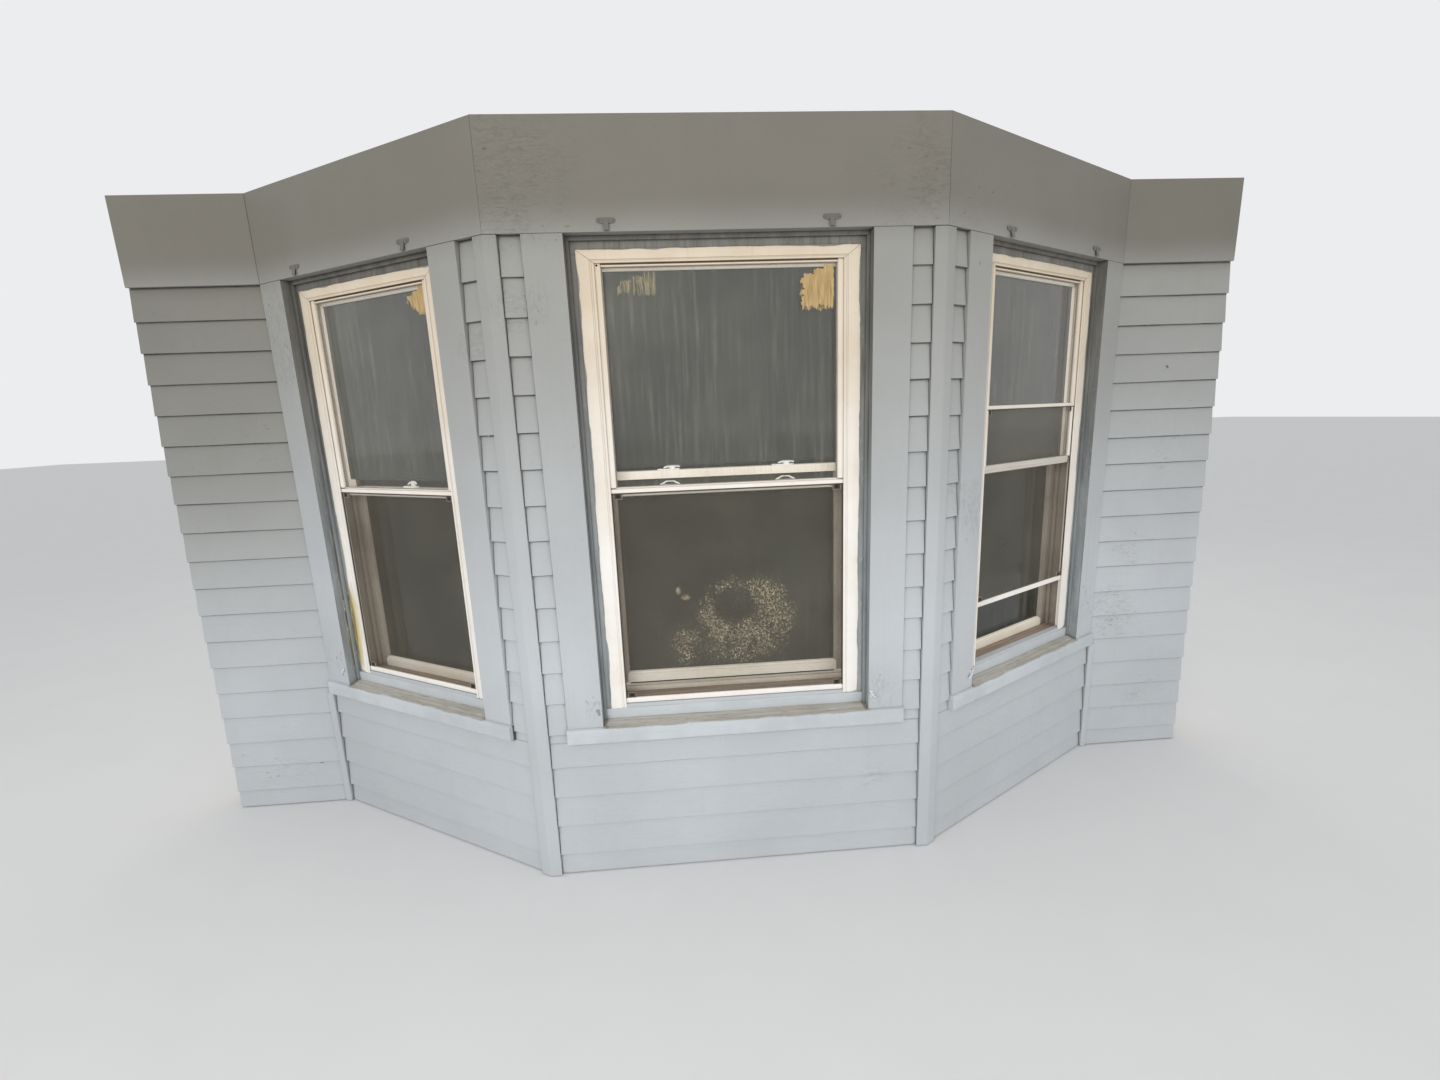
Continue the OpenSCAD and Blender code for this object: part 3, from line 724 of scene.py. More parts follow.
def insect_mesh(name, dusty=False):
    """Woven insect mesh: wires at true pitch over the open holes, with dust caught in it."""
    n = Nodes(name)
    co = n.place()
    x, _, z = n.axes(co)
    pitch = 0.0016

    def wire(value):
        return n.step(n.math("COSINE", value * (2 * math.pi / pitch)), 0.35, 0.75)

    cloud = n.noise(co, 4.5, 4.0, 0.6)
    cover = wire(x).max(wire(z)) * 0.17 + cloud * 0.06 + 0.07
    colour = n.mix(cloud, rgb(80, 75, 64), rgb(108, 101, 86))
    if dusty:
        # A ring of caught crumbs, open in the middle and thick at its foot
        def blob(px, pz, rx, rz, inner, outer):
            return n.step(n.far(co, (px, 0, pz), (rx, math.inf, rz)), outer, inner)

        ring = (blob(0.045, 0.885, 0.205, 0.170, 0.60, 1.05)
                - blob(0.006, 0.920, 0.070, 0.066, 0.6, 1.15) * 0.75)
        foot = blob(0.03, 0.770, 0.21, 0.085, 0.3, 1.1) * 0.9
        side = blob(-0.150, 0.795, 0.085, 0.115, 0.25, 1.15) * 0.95
        dense = ring.max(foot).max(side)
        dense = dense * n.step(n.grain(co, (13, 0, 13), 3.0, 0.6), 0.12, 0.60)
        crumbs = n.grain(co, (150, 0, 150), 4.0, 0.78, 0.5)
        crumb = n.step(crumbs - (0.69 - dense * 0.18), -0.01, 0.02) * n.step(dense, 0.04, 0.20)
        big = (blob(-0.174, 0.978, 0.011, 0.017, 0.3, 1.0)
               + blob(-0.152, 0.955, 0.020, 0.013, 0.3, 1.0))
        crumb = crumb.max(big * n.step(crumbs, 0.36, 0.46))
        haze = dense * 0.10
        cover = cover + (haze + crumb * 0.62)
        tint = n.mix(n.step(n.noise(co, 90.0), 0.35, 0.65), rgb(112, 103, 82), rgb(172, 162, 136))
        colour = n.mix((crumb * 0.9).max(haze * 1.5), colour, tint)
    wires = n.skin(colour, 0.6)
    return n.output(n.blend(n.math("MINIMUM", cover, 1.0), n.add("BsdfTransparent"), wires))


def metal(name, base, rough):
    """Small fittings: worn metal or moulded plastic."""
    n = Nodes(name)
    wear = n.noise(n.place(), 160.0, 4.0, 0.6)
    colour = n.mix(n.step(wear, 0.45, 0.72), base, shaded(base, 0.62))
    return n.finish(colour, wear * 0.2 + rough, n.bump(wear, 0.3, 0.0004))


def timber(name, light, dark, along, scale=1.0, rough=0.7):
    """Sawn timber with its grain along one axis."""
    n = Nodes(name)
    co = n.place()
    ways = [(1.6 if axis == along else 46) * scale for axis in "xyz"]
    grain = n.grain(co, ways, 5.0, 0.62, 0.4)
    fine = n.grain(co, [v * 4 for v in ways])
    colour = n.coats(n.mix(n.step(grain, 0.36, 0.66), dark, light),
                     (n.step(fine, 0.55, 0.75, 0.35), dark),
                     (n.step(n.noise(co, 2.4), 0.4, 0.7, 0.3), shaded(light, 0.75)))
    return n.finish(colour, grain * 0.15 + rough, n.bump(grain + fine * 0.4, 0.4, 0.001))


def plaster(name):
    n = Nodes(name)
    co = n.place()
    fine = n.noise(co, 90.0, 4.0, 0.6)
    trowel = n.grain(co, (14, 14, 9), 4.0, 0.6, 0.8)
    moved = n.add("VectorMath", {0: co, 1: (0.3, 0.2, 0.1)}, operation="ADD")
    crack = n.add("TexVoronoi", {"Vector": moved, "Scale": 2.3}, out="Distance",
                  feature="DISTANCE_TO_EDGE")
    line = n.step(crack + fine * 0.006, 0.0062, 0.0040, 0.5)
    patch = n.step(n.noise(co, 2.6, 4.0, 0.6), 0.35, 0.7)
    colour = n.coats(n.mix(patch, rgb(226, 222, 212), rgb(214, 209, 197)),
                     (line, rgb(168, 160, 146)))
    return n.finish(colour, 0.82, n.bump(trowel * 0.8 + fine * 0.15 - line, 0.35, 0.0015))


def materials():
    ochre = (rgb(192, 166, 116), rgb(158, 130, 86))
    faint = (rgb(158, 148, 118), rgb(124, 116, 92))
    stains = {1: [((-0.332, 0.04, 0.765), (0.030, 0.05, 0.190), rgb(208, 192, 134)),
                  ((-0.338, 0.04, 0.790), (0.012, 0.05, 0.170), rgb(138, 118, 80)),
                  ((-0.338, 0.04, 1.020), (0.009, 0.05, 0.200), rgb(172, 158, 134))]}
    smears = {1: [(0.176, 0.264, 1.868, 1.957, 0.75, 1.0, *ochre)],
              2: [(0.236, 0.338, 1.828, 1.955, 0.0, 1.0, *ochre),
                  (-0.310, -0.190, 1.880, 1.948, 0.0, 0.42, *faint)]}
    clear_below = {1: MEET_TOP + 32, 2: MEET_TOP + FRONT_UP + 17, 3: 0.0}
    looks = {
        "paint_x": paint("house_paint_flat", "x"),
        "paint_z": paint("house_paint_upright", "z"),
        # The left wing's paint, with painted shade from low down
        "paint_sooty": paint("house_paint_shaded_low", "x", sooty=True),
        "groove": recess_paint("recess_paint", rgb(176, 180, 181), rgb(152, 157, 158), 0.50),
        "groove_1": recess_paint("left_recess_paint", rgb(158, 161, 160), rgb(134, 138, 138),
                                 0.75, True),
        # A darker copy of the slate paint for reveals, steps and gap fillers: painted shade
        "edge": recess_paint("edge_paint_shaded", rgb(158, 163, 165), rgb(134, 140, 142), 0.35),
        # A darker copy of the house paint for the hooks: painted shade
        "hook": paint("hook_paint_shaded", "z", shaded(PAINT, 0.62), 1.2),
        "screen": storm_metal("screen_enamel", lap=False),
        "sash": vinyl("sash_cream", rgb(244, 236, 221), rgb(232, 221, 202)),
        # A darker copy of the cream for the lower sash's uprights, the liners and the stops:
        # painted shade
        "stile": vinyl("sash_stile_grime", rgb(160, 151, 139), rgb(134, 125, 114)),
        "trim": vinyl("inside_trim_paint", rgb(232, 228, 216), rgb(220, 215, 200)),
        "black": metal("corner_key_plastic", rgb(66, 59, 53), 0.45),
        # Near black for holes: painted shade
        "pit": metal("corner_key_hole", rgb(24, 21, 19), 0.6),
        "crack": metal("open_joint_dirt", rgb(92, 86, 84), 0.8),
        "pale_line": metal("corner_key_rim", rgb(150, 138, 124), 0.5),
        # Brown, darker than the enamel, for the slot under the storm head: painted shade
        "slot": metal("storm_track_brown", rgb(132, 116, 98), 0.5),
        "gasket": metal("glazing_gasket", rgb(146, 138, 128), 0.6),
        "spline": metal("mesh_spline", rgb(74, 67, 60), 0.6),
        # Near black for the strip under the sash and the lip behind the meeting rail: painted shade
        "lip": metal("dark_lip_painted_shade", rgb(52, 50, 46), 0.6),
        "lock": metal("lock_white_metal", rgb(248, 245, 238), 0.32),
        "catch": metal("catch_painted", rgb(214, 220, 224), 0.45),
        "wall": timber("wall_timber", rgb(196, 164, 120), rgb(160, 126, 84), "z"),
        "boards": timber("floor_boards_wood", rgb(176, 128, 82), rgb(128, 86, 52), "x", 1.0, 0.42),
        "joist": timber("joist_timber", rgb(190, 158, 114), rgb(146, 114, 76), "y"),
        "header": timber("header_timber", rgb(192, 160, 116), rgb(150, 118, 78), "x"),
        "tan": timber("liner_sill_wood", rgb(172, 156, 138), rgb(136, 120, 104), "x", 1.5, 0.6),
        "plaster": plaster("wall_plaster"),
    }
    for wall, side in SIDE.items():
        looks |= {
            f"sill_{wall}": sill_paint(f"{side}_sill_paint", HALF[wall]),
            f"storm_{wall}": storm_metal(f"{side}_storm_enamel", stains.get(wall, ())),
            f"mesh_{wall}": insect_mesh(f"{side}_insect_mesh", wall == 2),
            f"panes_{wall}": sash_glass(f"{side}_sash_pane", clear_below[wall] * MM),
            f"storm_pane_{wall}": storm_glass(f"{side}_storm_pane", smears.get(wall, ())),
        }
    return looks


LOOKS = materials()


# ---------------------------------------------------------------- outside boards
def courses(wall, zone, shift, grow):
    """Butt line of every clapboard course, from the top, with small errors of its own."""
    return [(k, HEAD - k * COURSE + shift - grow * k
             + dice("course", wall, zone, k).uniform(-1.6, 1.6)) for k in range(1, 20)]


def clad(shape, wall, x0, x1, z0, z1, zone, shift, grow=0.0):
    """Lapped clapboards over a rectangle of a wall, each board a little out of true."""
    rows = courses(wall, zone, shift, grow)
    ends = [e if callable(e) else (lambda d, z, e=e: e) for e in (x0, x1)]
    middle = LENGTH[wall] / 2
    for n, (k, butt) in enumerate(rows):
        above = rows[n - 1][1] if n else HEAD
        low, high, top = max(butt, z0), min(above + 3, z1), min(above, z1)
        if high - low < 2:
            continue
        roll = dice("board", wall, zone, k)
        proud, tilt, slope = (roll.uniform(-r, r) for r in (0.9, 0.8, 0.9))
        seed = roll.uniform(0, 50)

        def face(z):
            return BUTT + proud + (LEAN + tilt) * (z - butt) / COURSE

        profile = [(face(low), low), (TRIM, low), (TRIM, high), (face(high), high)]
        # The top rows of each face take rim 0: the painted shadow line under the next butt
        profile += [(face(z), z) for z in (top - 2.0, top - 7.0) if z > low + 3]
        for v in shape.prism("x", profile, *ends, step=45, edge=40,
                             rim=lambda d, z: 0.0 if z > top - 2.5 and d < TRIM - 1 else 1.0):
            x, y, z = shape.verts[v]
            wave = noise.noise(Vector((x / 210 + seed, k * 1.7, 0.0)))
            lift = slope * (x - middle) / middle + 1.1 * wave
            near_butt = low == butt and z <= low + 1
            if y < TRIM - 1:
                y += 0.7 * noise.noise(Vector((x / 120 + seed, z / 60, 3.1)))
            if low == butt and z < low + 60:
                z += lift * (1 - (z - low) / 60)
            if near_butt:
                z += 0.5 * noise.noise(Vector((x / 26 + seed, 9.2, 0.0)))
            shape.verts[v] = (x, y, z)
        if low != butt:
            continue
        left, right = ends[0](6, low), ends[1](6, low)
        # Drips of paint along the butt, then nail heads above it
        x = roll.uniform(20, 200)
        while x < LENGTH[wall]:
            if left + 6 < x < right - 6:
                shape.disc(x, face(low) + 0.3, low + roll.uniform(-0.5, 1.5),
                           roll.uniform(1.2, 2.8), roll.uniform(0.6, 1.3), 7)
            crowd = 0.12 if worn(wall, x, low, 1.4) > 0.3 else 1.0
            x += roll.uniform(60, 300) * crowd
        for x in every(roll, roll.uniform(40, 360), LENGTH[wall], 406, 14):
            if left + 14 < x < right - 14 and low + 24 < high:
                shape.disc(x, face(low + 22), low + 22 + roll.uniform(-4, 4), 3.6, 0.7)


def slivers(shape, wall, x0, box, depth, along, count=9):
    """Lifted slivers of paint round the worn places that lie inside a box of the wall."""
    for u, w, r, amount in WORN[wall]:
        roll = dice("sliver", wall, u, w)
        for _ in range(round(count * amount)):
            x, z = u + roll.gauss(0, 0.33) * r, w + roll.gauss(0, 0.33) * r
            long, lean, thick = roll.uniform(5, 20), roll.uniform(-2.5, 2.5), roll.uniform(0.7, 1.5)
            dx, dz = (long, lean) if along == "x" else (lean, long)
            if box[0] + 3 < x < box[1] - 3 - dx and box[2] + 3 < z < box[3] - 3 - dz:
                y = depth(z) if callable(depth) else depth
                shape.tube([(x - x0 + a * dx, y + b, z + c * dz) for a, b, c in
                            ((0, 0.8, 0), (0.3, -0.5 * thick, 0.35), (0.7, -0.7 * thick, 0.6),
                             (1, 0.6, 1))], [a * thick for a in (0.6, 1, 0.8, 0.4)], 5)


def clapboards():
    lift, gap, sill, head = 4.0, 2.0, SILL_LOW - 0.5, HEAD - 0.5
    boards = "paint_x edge"
    end, out = CORNER + gap, HALF[2] + CASING
    left_out, right_out = WIN_X[1] + HALF[1] + CASING, WIN_X[3] - HALF[3] - CASING
    # Each wall's fields of boards, with their ends, and the old filler in the gaps at their ends.
    # The side walls' boards end in the inner corner, against the strip on the house wall.
    for wall, name, node, fields, fillers in (
            (2, "front", "front_siding",
             (("low", -11, end, FRONT_W - end), ("left", 0, end, WIN_X[2] - out - gap),
              ("right", 5, WIN_X[2] + out + gap, FRONT_W - end)),
             ((CORNER, lift), (FRONT_W - end, lift), (WIN_X[2] - out - gap, sill),
              (WIN_X[2] + out, sill))),
            (1, "left_side", "side_siding",
             (("low", -11, lambda d, z: span(1, d)[0] + gap, SIDE_LEN - end),
              ("strip", -2, left_out + gap, SIDE_LEN - end)),
             ((SIDE_LEN - end, lift), (left_out, sill))),
            (3, "right_side", "side_siding",
             (("low", -13, end, lambda d, z: span(3, d)[1] - gap),
              ("strip", 5, end, right_out - gap)),
             ((CORNER, lift), (right_out - gap, sill)))):
        shape = Shape()
        for zone, shift, x0, x1 in fields:
            low, high = (lift, sill) if zone == "low" else (sill, head)
            clad(shape, wall, x0, x1, low, high, zone, shift)
        # The fillers take the darker edge paint: painted shade in the gaps
        for x, z in fillers:
            shape.box(x - 0.5, x + gap + 0.5, 14, TRIM, z, HEAD - 1, mat=1)
        shape.make(f"{name}_clapboards", wall, 0, boards, [node], 0.9)
    for wall, name, shift, grow in ((0, "left", -4, 0.45), (4, "right", -10, 0.3)):
        shape = Shape()

        def corner(d, z):
            """The inner corner's end: the strip below the sills, the side casing above them."""
            if z >= sill:
                return span(wall, d)[1 if wall == 0 else 0]
            return WING - STRIP - 0.5 if wall == 0 else STRIP + 0.5

        ends = (0.5, corner) if wall == 0 else (corner, WING - 0.5)
        clad(shape, wall, *ends, lift, head, "wing", shift, grow)
        butts = [b for _, b in courses(wall, "wing", shift, grow)]

        def depth(z):
            return BUTT - 0.2 + LEAN * (z - max([b for b in butts if b <= z], default=z)) / COURSE

        slivers(shape, wall, 0, (30, WING - 30, 60, 1990), depth, "x", 22)
        if wall == 4:
            # A nick in the boards
            for x, z, r in ((229, 1653, 3.2), (233, 1648, 2.4)):
                shape.disc(x, 10.0, z, r, 3.0, mat=1)
        shape.make(f"{name}_wing_clapboards", wall, 0,
                   "paint_sooty edge" if wall == 0 else boards, ["wing_siding"], 0.9)


def friezes():
    gap = 0.4
    for wall, (name, node) in enumerate((
            ("left_wing_frieze", "wing_friezes"), ("left_side_frieze", "side_friezes"),
            ("front_frieze_board", "front_frieze"), ("right_side_frieze", "side_friezes"),
            ("right_wing_frieze", "wing_friezes"))):
        shape = Shape()
        (a0, b0), (a1, b1) = span(wall, 0), span(wall, TRIM)
        shape.prism("z", [(a0 + gap, 0), (b0 - gap, 0), (b1 - gap, TRIM), (a1 + gap, TRIM)],
                    HEAD + 0.6, WALL_H, 45, 45)
        shape.shake(0.9, 260, 3 + wall)
        roll = dice("frieze", wall)
        for z in (HEAD + 32, HEAD + 150, HEAD + 262):
            for x in every(roll, roll.uniform(50, 160), LENGTH[wall] - 20, 203, 16):
                shape.disc(x, 0.4, z + roll.uniform(-7, 7), 4.2, 0.9)
        slivers(shape, wall, 0, (5, LENGTH[wall] - 5, HEAD + 5, WALL_H - 5), 0.0, "x", 14)
        shape.make(name, wall, 0, "paint_x", [node], 1.4)


def corner_boards():
    c, s = math.cos(math.radians(ANGLE)), math.sin(math.radians(ANGLE))
    back = MITRE * TRIM
    board = rounded([(0, 0), (CORNER, 0), (CORNER, TRIM), (back, TRIM),
                     (-CORNER * c + TRIM * s, CORNER * s + TRIM * c), (-CORNER * c, CORNER * s)],
                    {0: 4, 1: 2, 5: 2})
    strip = rounded([(-STRIP, 0), (0, 0), (back, TRIM), (-STRIP, TRIM)], {0: 1.5, 1: 2})
    for sign, name, x0 in ((1, "left", 0.0), (-1, "right", FRONT_W)):
        shape = Shape()
        shape.prism("z", [(sign * p, q) for p, q in board], 1.0, HEAD - 0.8, 60)
        shape.shake(0.8, 330, 11 + sign)
        for z in range(60, 2030, 305):
            shape.disc(sign * 20, 0.3, z + dice(name, z).uniform(-20, 20), 3.4, 0.8)
        shape.make(f"{name}_corner_boards", 2, x0, "paint_z", [f"{name}_corner_board"], 1.2)
    for wall, name, x0, sign in ((0, "left", WING, 1), (4, "right", 0, -1)):
        shape = Shape()
        shape.prism("z", [(sign * p, q) for p, q in strip], 1.0, SILL_LOW - 0.5, 50)
        shape.shake(0.6, 300, wall)
        shape.make(f"{name}_corner_strip", wall, x0, "paint_z", ["inner_corner_strips"], 0.8)


def casings(wall, half):
    shape = Shape()
    for s in (-1, 1):
        front = back = half + CASING
        if (wall, s) in ((1, -1), (3, 1)):
            # Up to the house wall, in the inner corner
            front = (WIN_X[1] if wall == 1 else SIDE_LEN - WIN_X[3]) - 0.6
            back = front + MITRE * TRIM
        first = len(shape.faces)
        shape.prism("z", [(s * half, 0), (s * front, 0), (s * back, TRIM), (s * half, TRIM)],
                    lambda p, q: sill_top(q) + 0.3, HEAD - 0.6, 45, 40)
        shape.shade_edges(first, half)
    shape.shake(0.9, 300, 20 + wall)
    roll = dice("casing", wall)
    for s in (-1, 1):
        for z in every(roll, 600.0, HEAD - 30, 290, 12):
            for w in (18, 96):
                shape.disc(s * (half + w), 0.3, z + roll.uniform(-6, 6), 3.8, 0.8)
        at = WIN_X[wall] + s * (half + CASING / 2)
        slivers(shape, wall, WIN_X[wall],
                (at - CASING / 2, at + CASING / 2, SILL_Z + 20, HEAD - 5), 0.0, "z")
    shape.fit("casing_boards", wall, "paint_z edge", ["{}_casings"], 1.6)


def sills(wall, half):
    shape = Shape()
    low, high = -half - CASING - HORN, half + CASING + HORN
    if wall == 1:
        low = -WIN_X[1] - 1.5
    if wall == 3:
        high = SIDE_LEN - WIN_X[3] + 1.5
    nose = rounded([(-NOSE, SILL_LOW), (TRIM, SILL_LOW), (TRIM, sill_top(TRIM)), (-NOSE, SILL_Z)],
                   {0: 4, 3: 7})
    shape.prism("x", nose, low, high, 30, 20)
    # The slope's inner part, the riser and the inner bed
    shape.prism("x", [(TRIM - 0.5, SILL_LOW), (ROOM, SILL_LOW), (ROOM, RISER), (SET, RISER),
                      (SET, sill_top(SET)), (TRIM - 0.5, sill_top(TRIM) - 0.1)],
                -half - JAMB, half + JAMB, 30, 25)
    shape.shake(0.9, 170, 30 + wall, (0.3, 0.8, 0.8))
    # The open joint under the sill, and on the left also at its end
    shape.box(low + 4, high - 4, 3.5, TRIM - 1, SILL_LOW - 1.5, SILL_LOW + 1, 40, 1)
    if wall == 1:
        shape.box(high - 1, high + 1.6, 3, TRIM - 1, SILL_LOW - 3, SILL_Z + 2, mat=1)
        shape.box(high - 26, high, 2, TRIM - 1, SILL_LOW - 1.8, SILL_LOW + 1, mat=1)
    shape.fit("sill_board", wall, f"sill_{wall} crack", ["{}_sill"], 1.2)


# ---------------------------------------------------------------- windows
def window_frames(wall, half):
    shape = Shape()
    shape.pair(half, half + JAMB, TRIM, ROOM, lambda p, q: sill_top(q) if q <= SET else RISER,
               HEAD, 60)
    shape.pair(half, half - STEP, TRIM + 5, SET + 4, lambda p, q: sill_top(min(q, SET)) + 0.2,
               HEAD - 12, 60, 3)
    shape.pair(half, half - BLIND, SET + 4, STORM_BACK, RISER, HEAD - 46, 60)
    shape.across(half + JAMB, TRIM, ROOM, HEAD, HEAD + JAMB, 60)
    shape.across(half, TRIM + 5, SET + 4, HEAD - 12, HEAD, 60, 3)
    shape.across(half, SET + 4, STORM_BACK, HEAD - 46, HEAD, 60)
    # Liner, stops and the liner's sill with its lip
    for w, d0, d1 in ((LINER, STORM_BACK, ROOM), (LINER + STOP, *PARTING),
                      (LINER + STOP, ROOM - STOP, ROOM)):
        shape.pair(half, half - w, d0, d1, RISER, HEAD, 80, 1)
        shape.across(half - w, d0, d1, HEAD - w, HEAD, 80, 1)
    inner = half - LINER
    shape.across(inner, STORM_BACK, ROOM - STOP, RISER, RISER + 8, 80, 2)
    shape.prism("x", rounded(rect(ROOM - STOP, ROOM, RISER, RISER + 21), {3: 3}), -inner, inner,
                80, mat=4)
    shape.shake(0.4, 300, 40 + wall)
    groove = "groove_1" if wall == 1 else "groove"
    shape.fit("jambs_and_stops", wall, groove + " stile tan edge sash", ["{}_window_frame"])


# Cross-section of the storm windows' flange from its outer rim inward: flat, a fine groove and
# a raised lip. Distance from the rim and depth behind SET.
FLANGE_CUT = [(0, 1.2), (2, 0.5), (37.0, 0.3), (38.2, 2.2), (42.6, 2.2), (43.8, -0.2),
              (45.5, -0.7), (49.6, -0.7), (FLANGE, 0.4), (FLANGE, 4), (0, 4)]


def storm_windows(wall, half):
    outer, body = half - GAP, half - BLIND - 0.3
    track = body - WALL
    inner = track - LINER
    shrink = FLANGE_HEAD / FLANGE
    shape = Shape()
    # Flange, mitred at the head; rim is the distance from its outer edge
    for s in (-1, 1):
        for v in shape.prism("z", [(s * (outer - w), SET + d) for w, d in FLANGE_CUT], RISER - 0.5,
                             lambda p, q: STORM_TOP - (outer - abs(p)) * shrink - 0.45, 40, 9,
                             rim=lambda p, q: (outer - abs(p)) * MM):
            z = shape.verts[v][2]
            shape.rim[v] = min(shape.rim[v], max(0.0, (z - RISER) * MM + 0.002))

    def end(d, z):
        return outer - (STORM_TOP - z) / shrink - 0.45

    shape.prism("x", [(SET + d, STORM_TOP - w * shrink) for w, d in FLANGE_CUT],
                lambda d, z: -end(d, z), end, 40, 9, rim=lambda d, z: (STORM_TOP - z) * MM)
    # Lip under the screen, painted with the riser
    shape.prism("x", rounded(rect(SET + 0.6, SET + 4, RISER, RISER + 12.6), {3: 1.5}),
                -outer + FLANGE, outer - FLANGE, 40, mat=3)
    # Frame behind the flange
    shape.pair(body, track, SET + 4, STORM_BACK - 0.3, RISER, STORM_HEAD)
    shape.across(track, SET + 4, STORM_BACK - 0.3, RISER, RISER + 13, 60, 3)
    shape.across(track, SET + 4, STORM_BACK - 0.3, STORM_HEAD - WALL, STORM_HEAD, 60)
    # Upper light: its frame stands close behind the flange; a dark slot under the head
    face, back, bead = 45.6, 61, 51.6
    shape.mirrored([(track, face), (inner + 3, face), (inner + 1.2, face + 0.8), (inner, face + 3),
                    (inner, back), (track, back)], RAIL_TOP, STORM_HEAD - WALL, 80)
    shape.pair(track, inner + 4, 53, back, RAIL_Z, RAIL_TOP)
    shape.pair(inner, inner - 3.4, 53.4, 58, RAIL_TOP, LIGHT_TOP, mat=1)
    # The slot under the head is brown and dark: painted shade of the recess
    shape.across(inner, 52, back, LIGHT_TOP + 4.6, STORM_HEAD - WALL, 80, 4)
    shape.prism("x", [(face, LIGHT_TOP + 4.6), (face, LIGHT_TOP + 1), (face + 1, LIGHT_TOP),
                      (back, LIGHT_TOP), (back, LIGHT_TOP + 4.6)], -inner, inner, 80)
    shape.across(inner, 53.4, 58, LIGHT_TOP - 2.2, LIGHT_TOP, 80, 1)
    rail = [(0, 1), (1, 0), (back - bead, 0), (back - bead, 26), (1.5, 26), (0, 24.5), (0, 9),
            (1.6, 8.4), (1.6, 7)]
    shape.prism("x", [(bead + d, RAIL_Z + z) for d, z in rail], -track, track, 80)
    shape.across(inner, 55, 58, RAIL_TOP, RAIL_TOP + 2.2, 80, 1)
    if wall == 2:
        # Mitre hole at the head's left corner: a near black disc, the hole's painted shade
        shape.disc(-outer + FLANGE + 6.5, face, LIGHT_TOP + 3.5, 4.6, 0.5, mat=2)
    shape.fit("storm_frame", wall, f"storm_{wall} gasket pit paint_x slot",
              ["{}_storm_window"], 0.5)


def lets_light_in(obj):
    """Panes and mesh hold back no light from the frames behind them."""
    obj.visible_shadow = obj.visible_diffuse = False


def screens(wall, half):
    half = half - BLIND - 0.6 - WALL
    low = RISER + 13.3 + (SCREEN_UP if wall == 3 else 0.0)
    high = low + SCREEN_H
    foot, head = 18, 13
    shape = Shape()
    d0, d1 = 45.0, 51.0
    for z0, z1 in ((low, low + foot), (high - head, high)):
        shape.prism("x", rounded(rect(d0, d1, z0, z1), {0: 2, 3: 2}), -half + 1, half - 1, 60)
    shape.pair(half, half - 20, d0, d1, low, high, 80)
    # Corner keys: a black plastic square in a pale rim, with a square hole
    edge = HALF[wall] - GAP - FLANGE
    side, rim, hole = 19, 1.6, 5
    for s in (-1, 1):
        a, b = sorted((s * (edge - 7), s * (edge - 33)))
        for z in (low + foot, high - head - side):
            for x0, x1, z0, z1 in ((a, b, z, z + rim), (a, b, z + side - rim, z + side),
                                   (a, a + 1.8, z, z + side), (b - 1.8, b, z, z + side)):
                shape.box(x0, x1, 45.6, 49.6, z0, z1, mat=1)
            shape.box(a + 1.8, b - 1.8, 46.4, 49.4, z + rim, z + side - rim, mat=2)
            mid = (a + b) / 2
            # The square hole is a near black plate: painted shade
            shape.box(mid - hole, mid + hole, 46.1, 46.6, z + hole, z + side - hole, mat=3)
    # Dark spline that holds the mesh, beside the flange and under the rail
    shape.pair(edge + 3, edge - 3.6, 44.6, 47, low + 17, high - 12, 90, 4)
    shape.across(edge, 44.6, 47, high - 15.5, high - 12, 90, 4)
    shape.fit("screen_frame", wall, "screen pale_line black pit spline",
              ["{}_screen"], 0.5)
    cloth = Shape()
    cloth.prism("y", rect(-half + 12, half - 12, low + 10, high - 7), 47.9, 48.1, edge=40)
    lets_light_in(cloth.fit("screen_mesh", wall, f"mesh_{wall}", (), 0))


def sash(shape, half, d0, d1, z0, z1, low, top):
    """Stiles and rails of a sash, with a bead round the pane."""
    bead = 7.0
    inner = half - STILE
    shape.mirrored([(half, d0), (inner + bead + 1, d0), (inner + bead, d0 + 2),
                    (inner + bead, d0 + 4), (inner + 1, d0 + 6), (inner, d0 + 12), (inner, d1),
                    (half, d1)], z0, z1, 120)
    for base, edge, way in ((z0, z0 + low, 1), (z1, z1 - top, -1)):
        profile = [(d0, base), (d0, edge - way * (bead + 1)), (d0 + 2, edge - way * bead),
                   (d0 + 4, edge - way * bead), (d0 + 6, edge - way), (d0 + 12, edge), (d1, edge),
                   (d1, base)]
        shape.prism("x", profile, -inner - bead, inner + bead, 120)


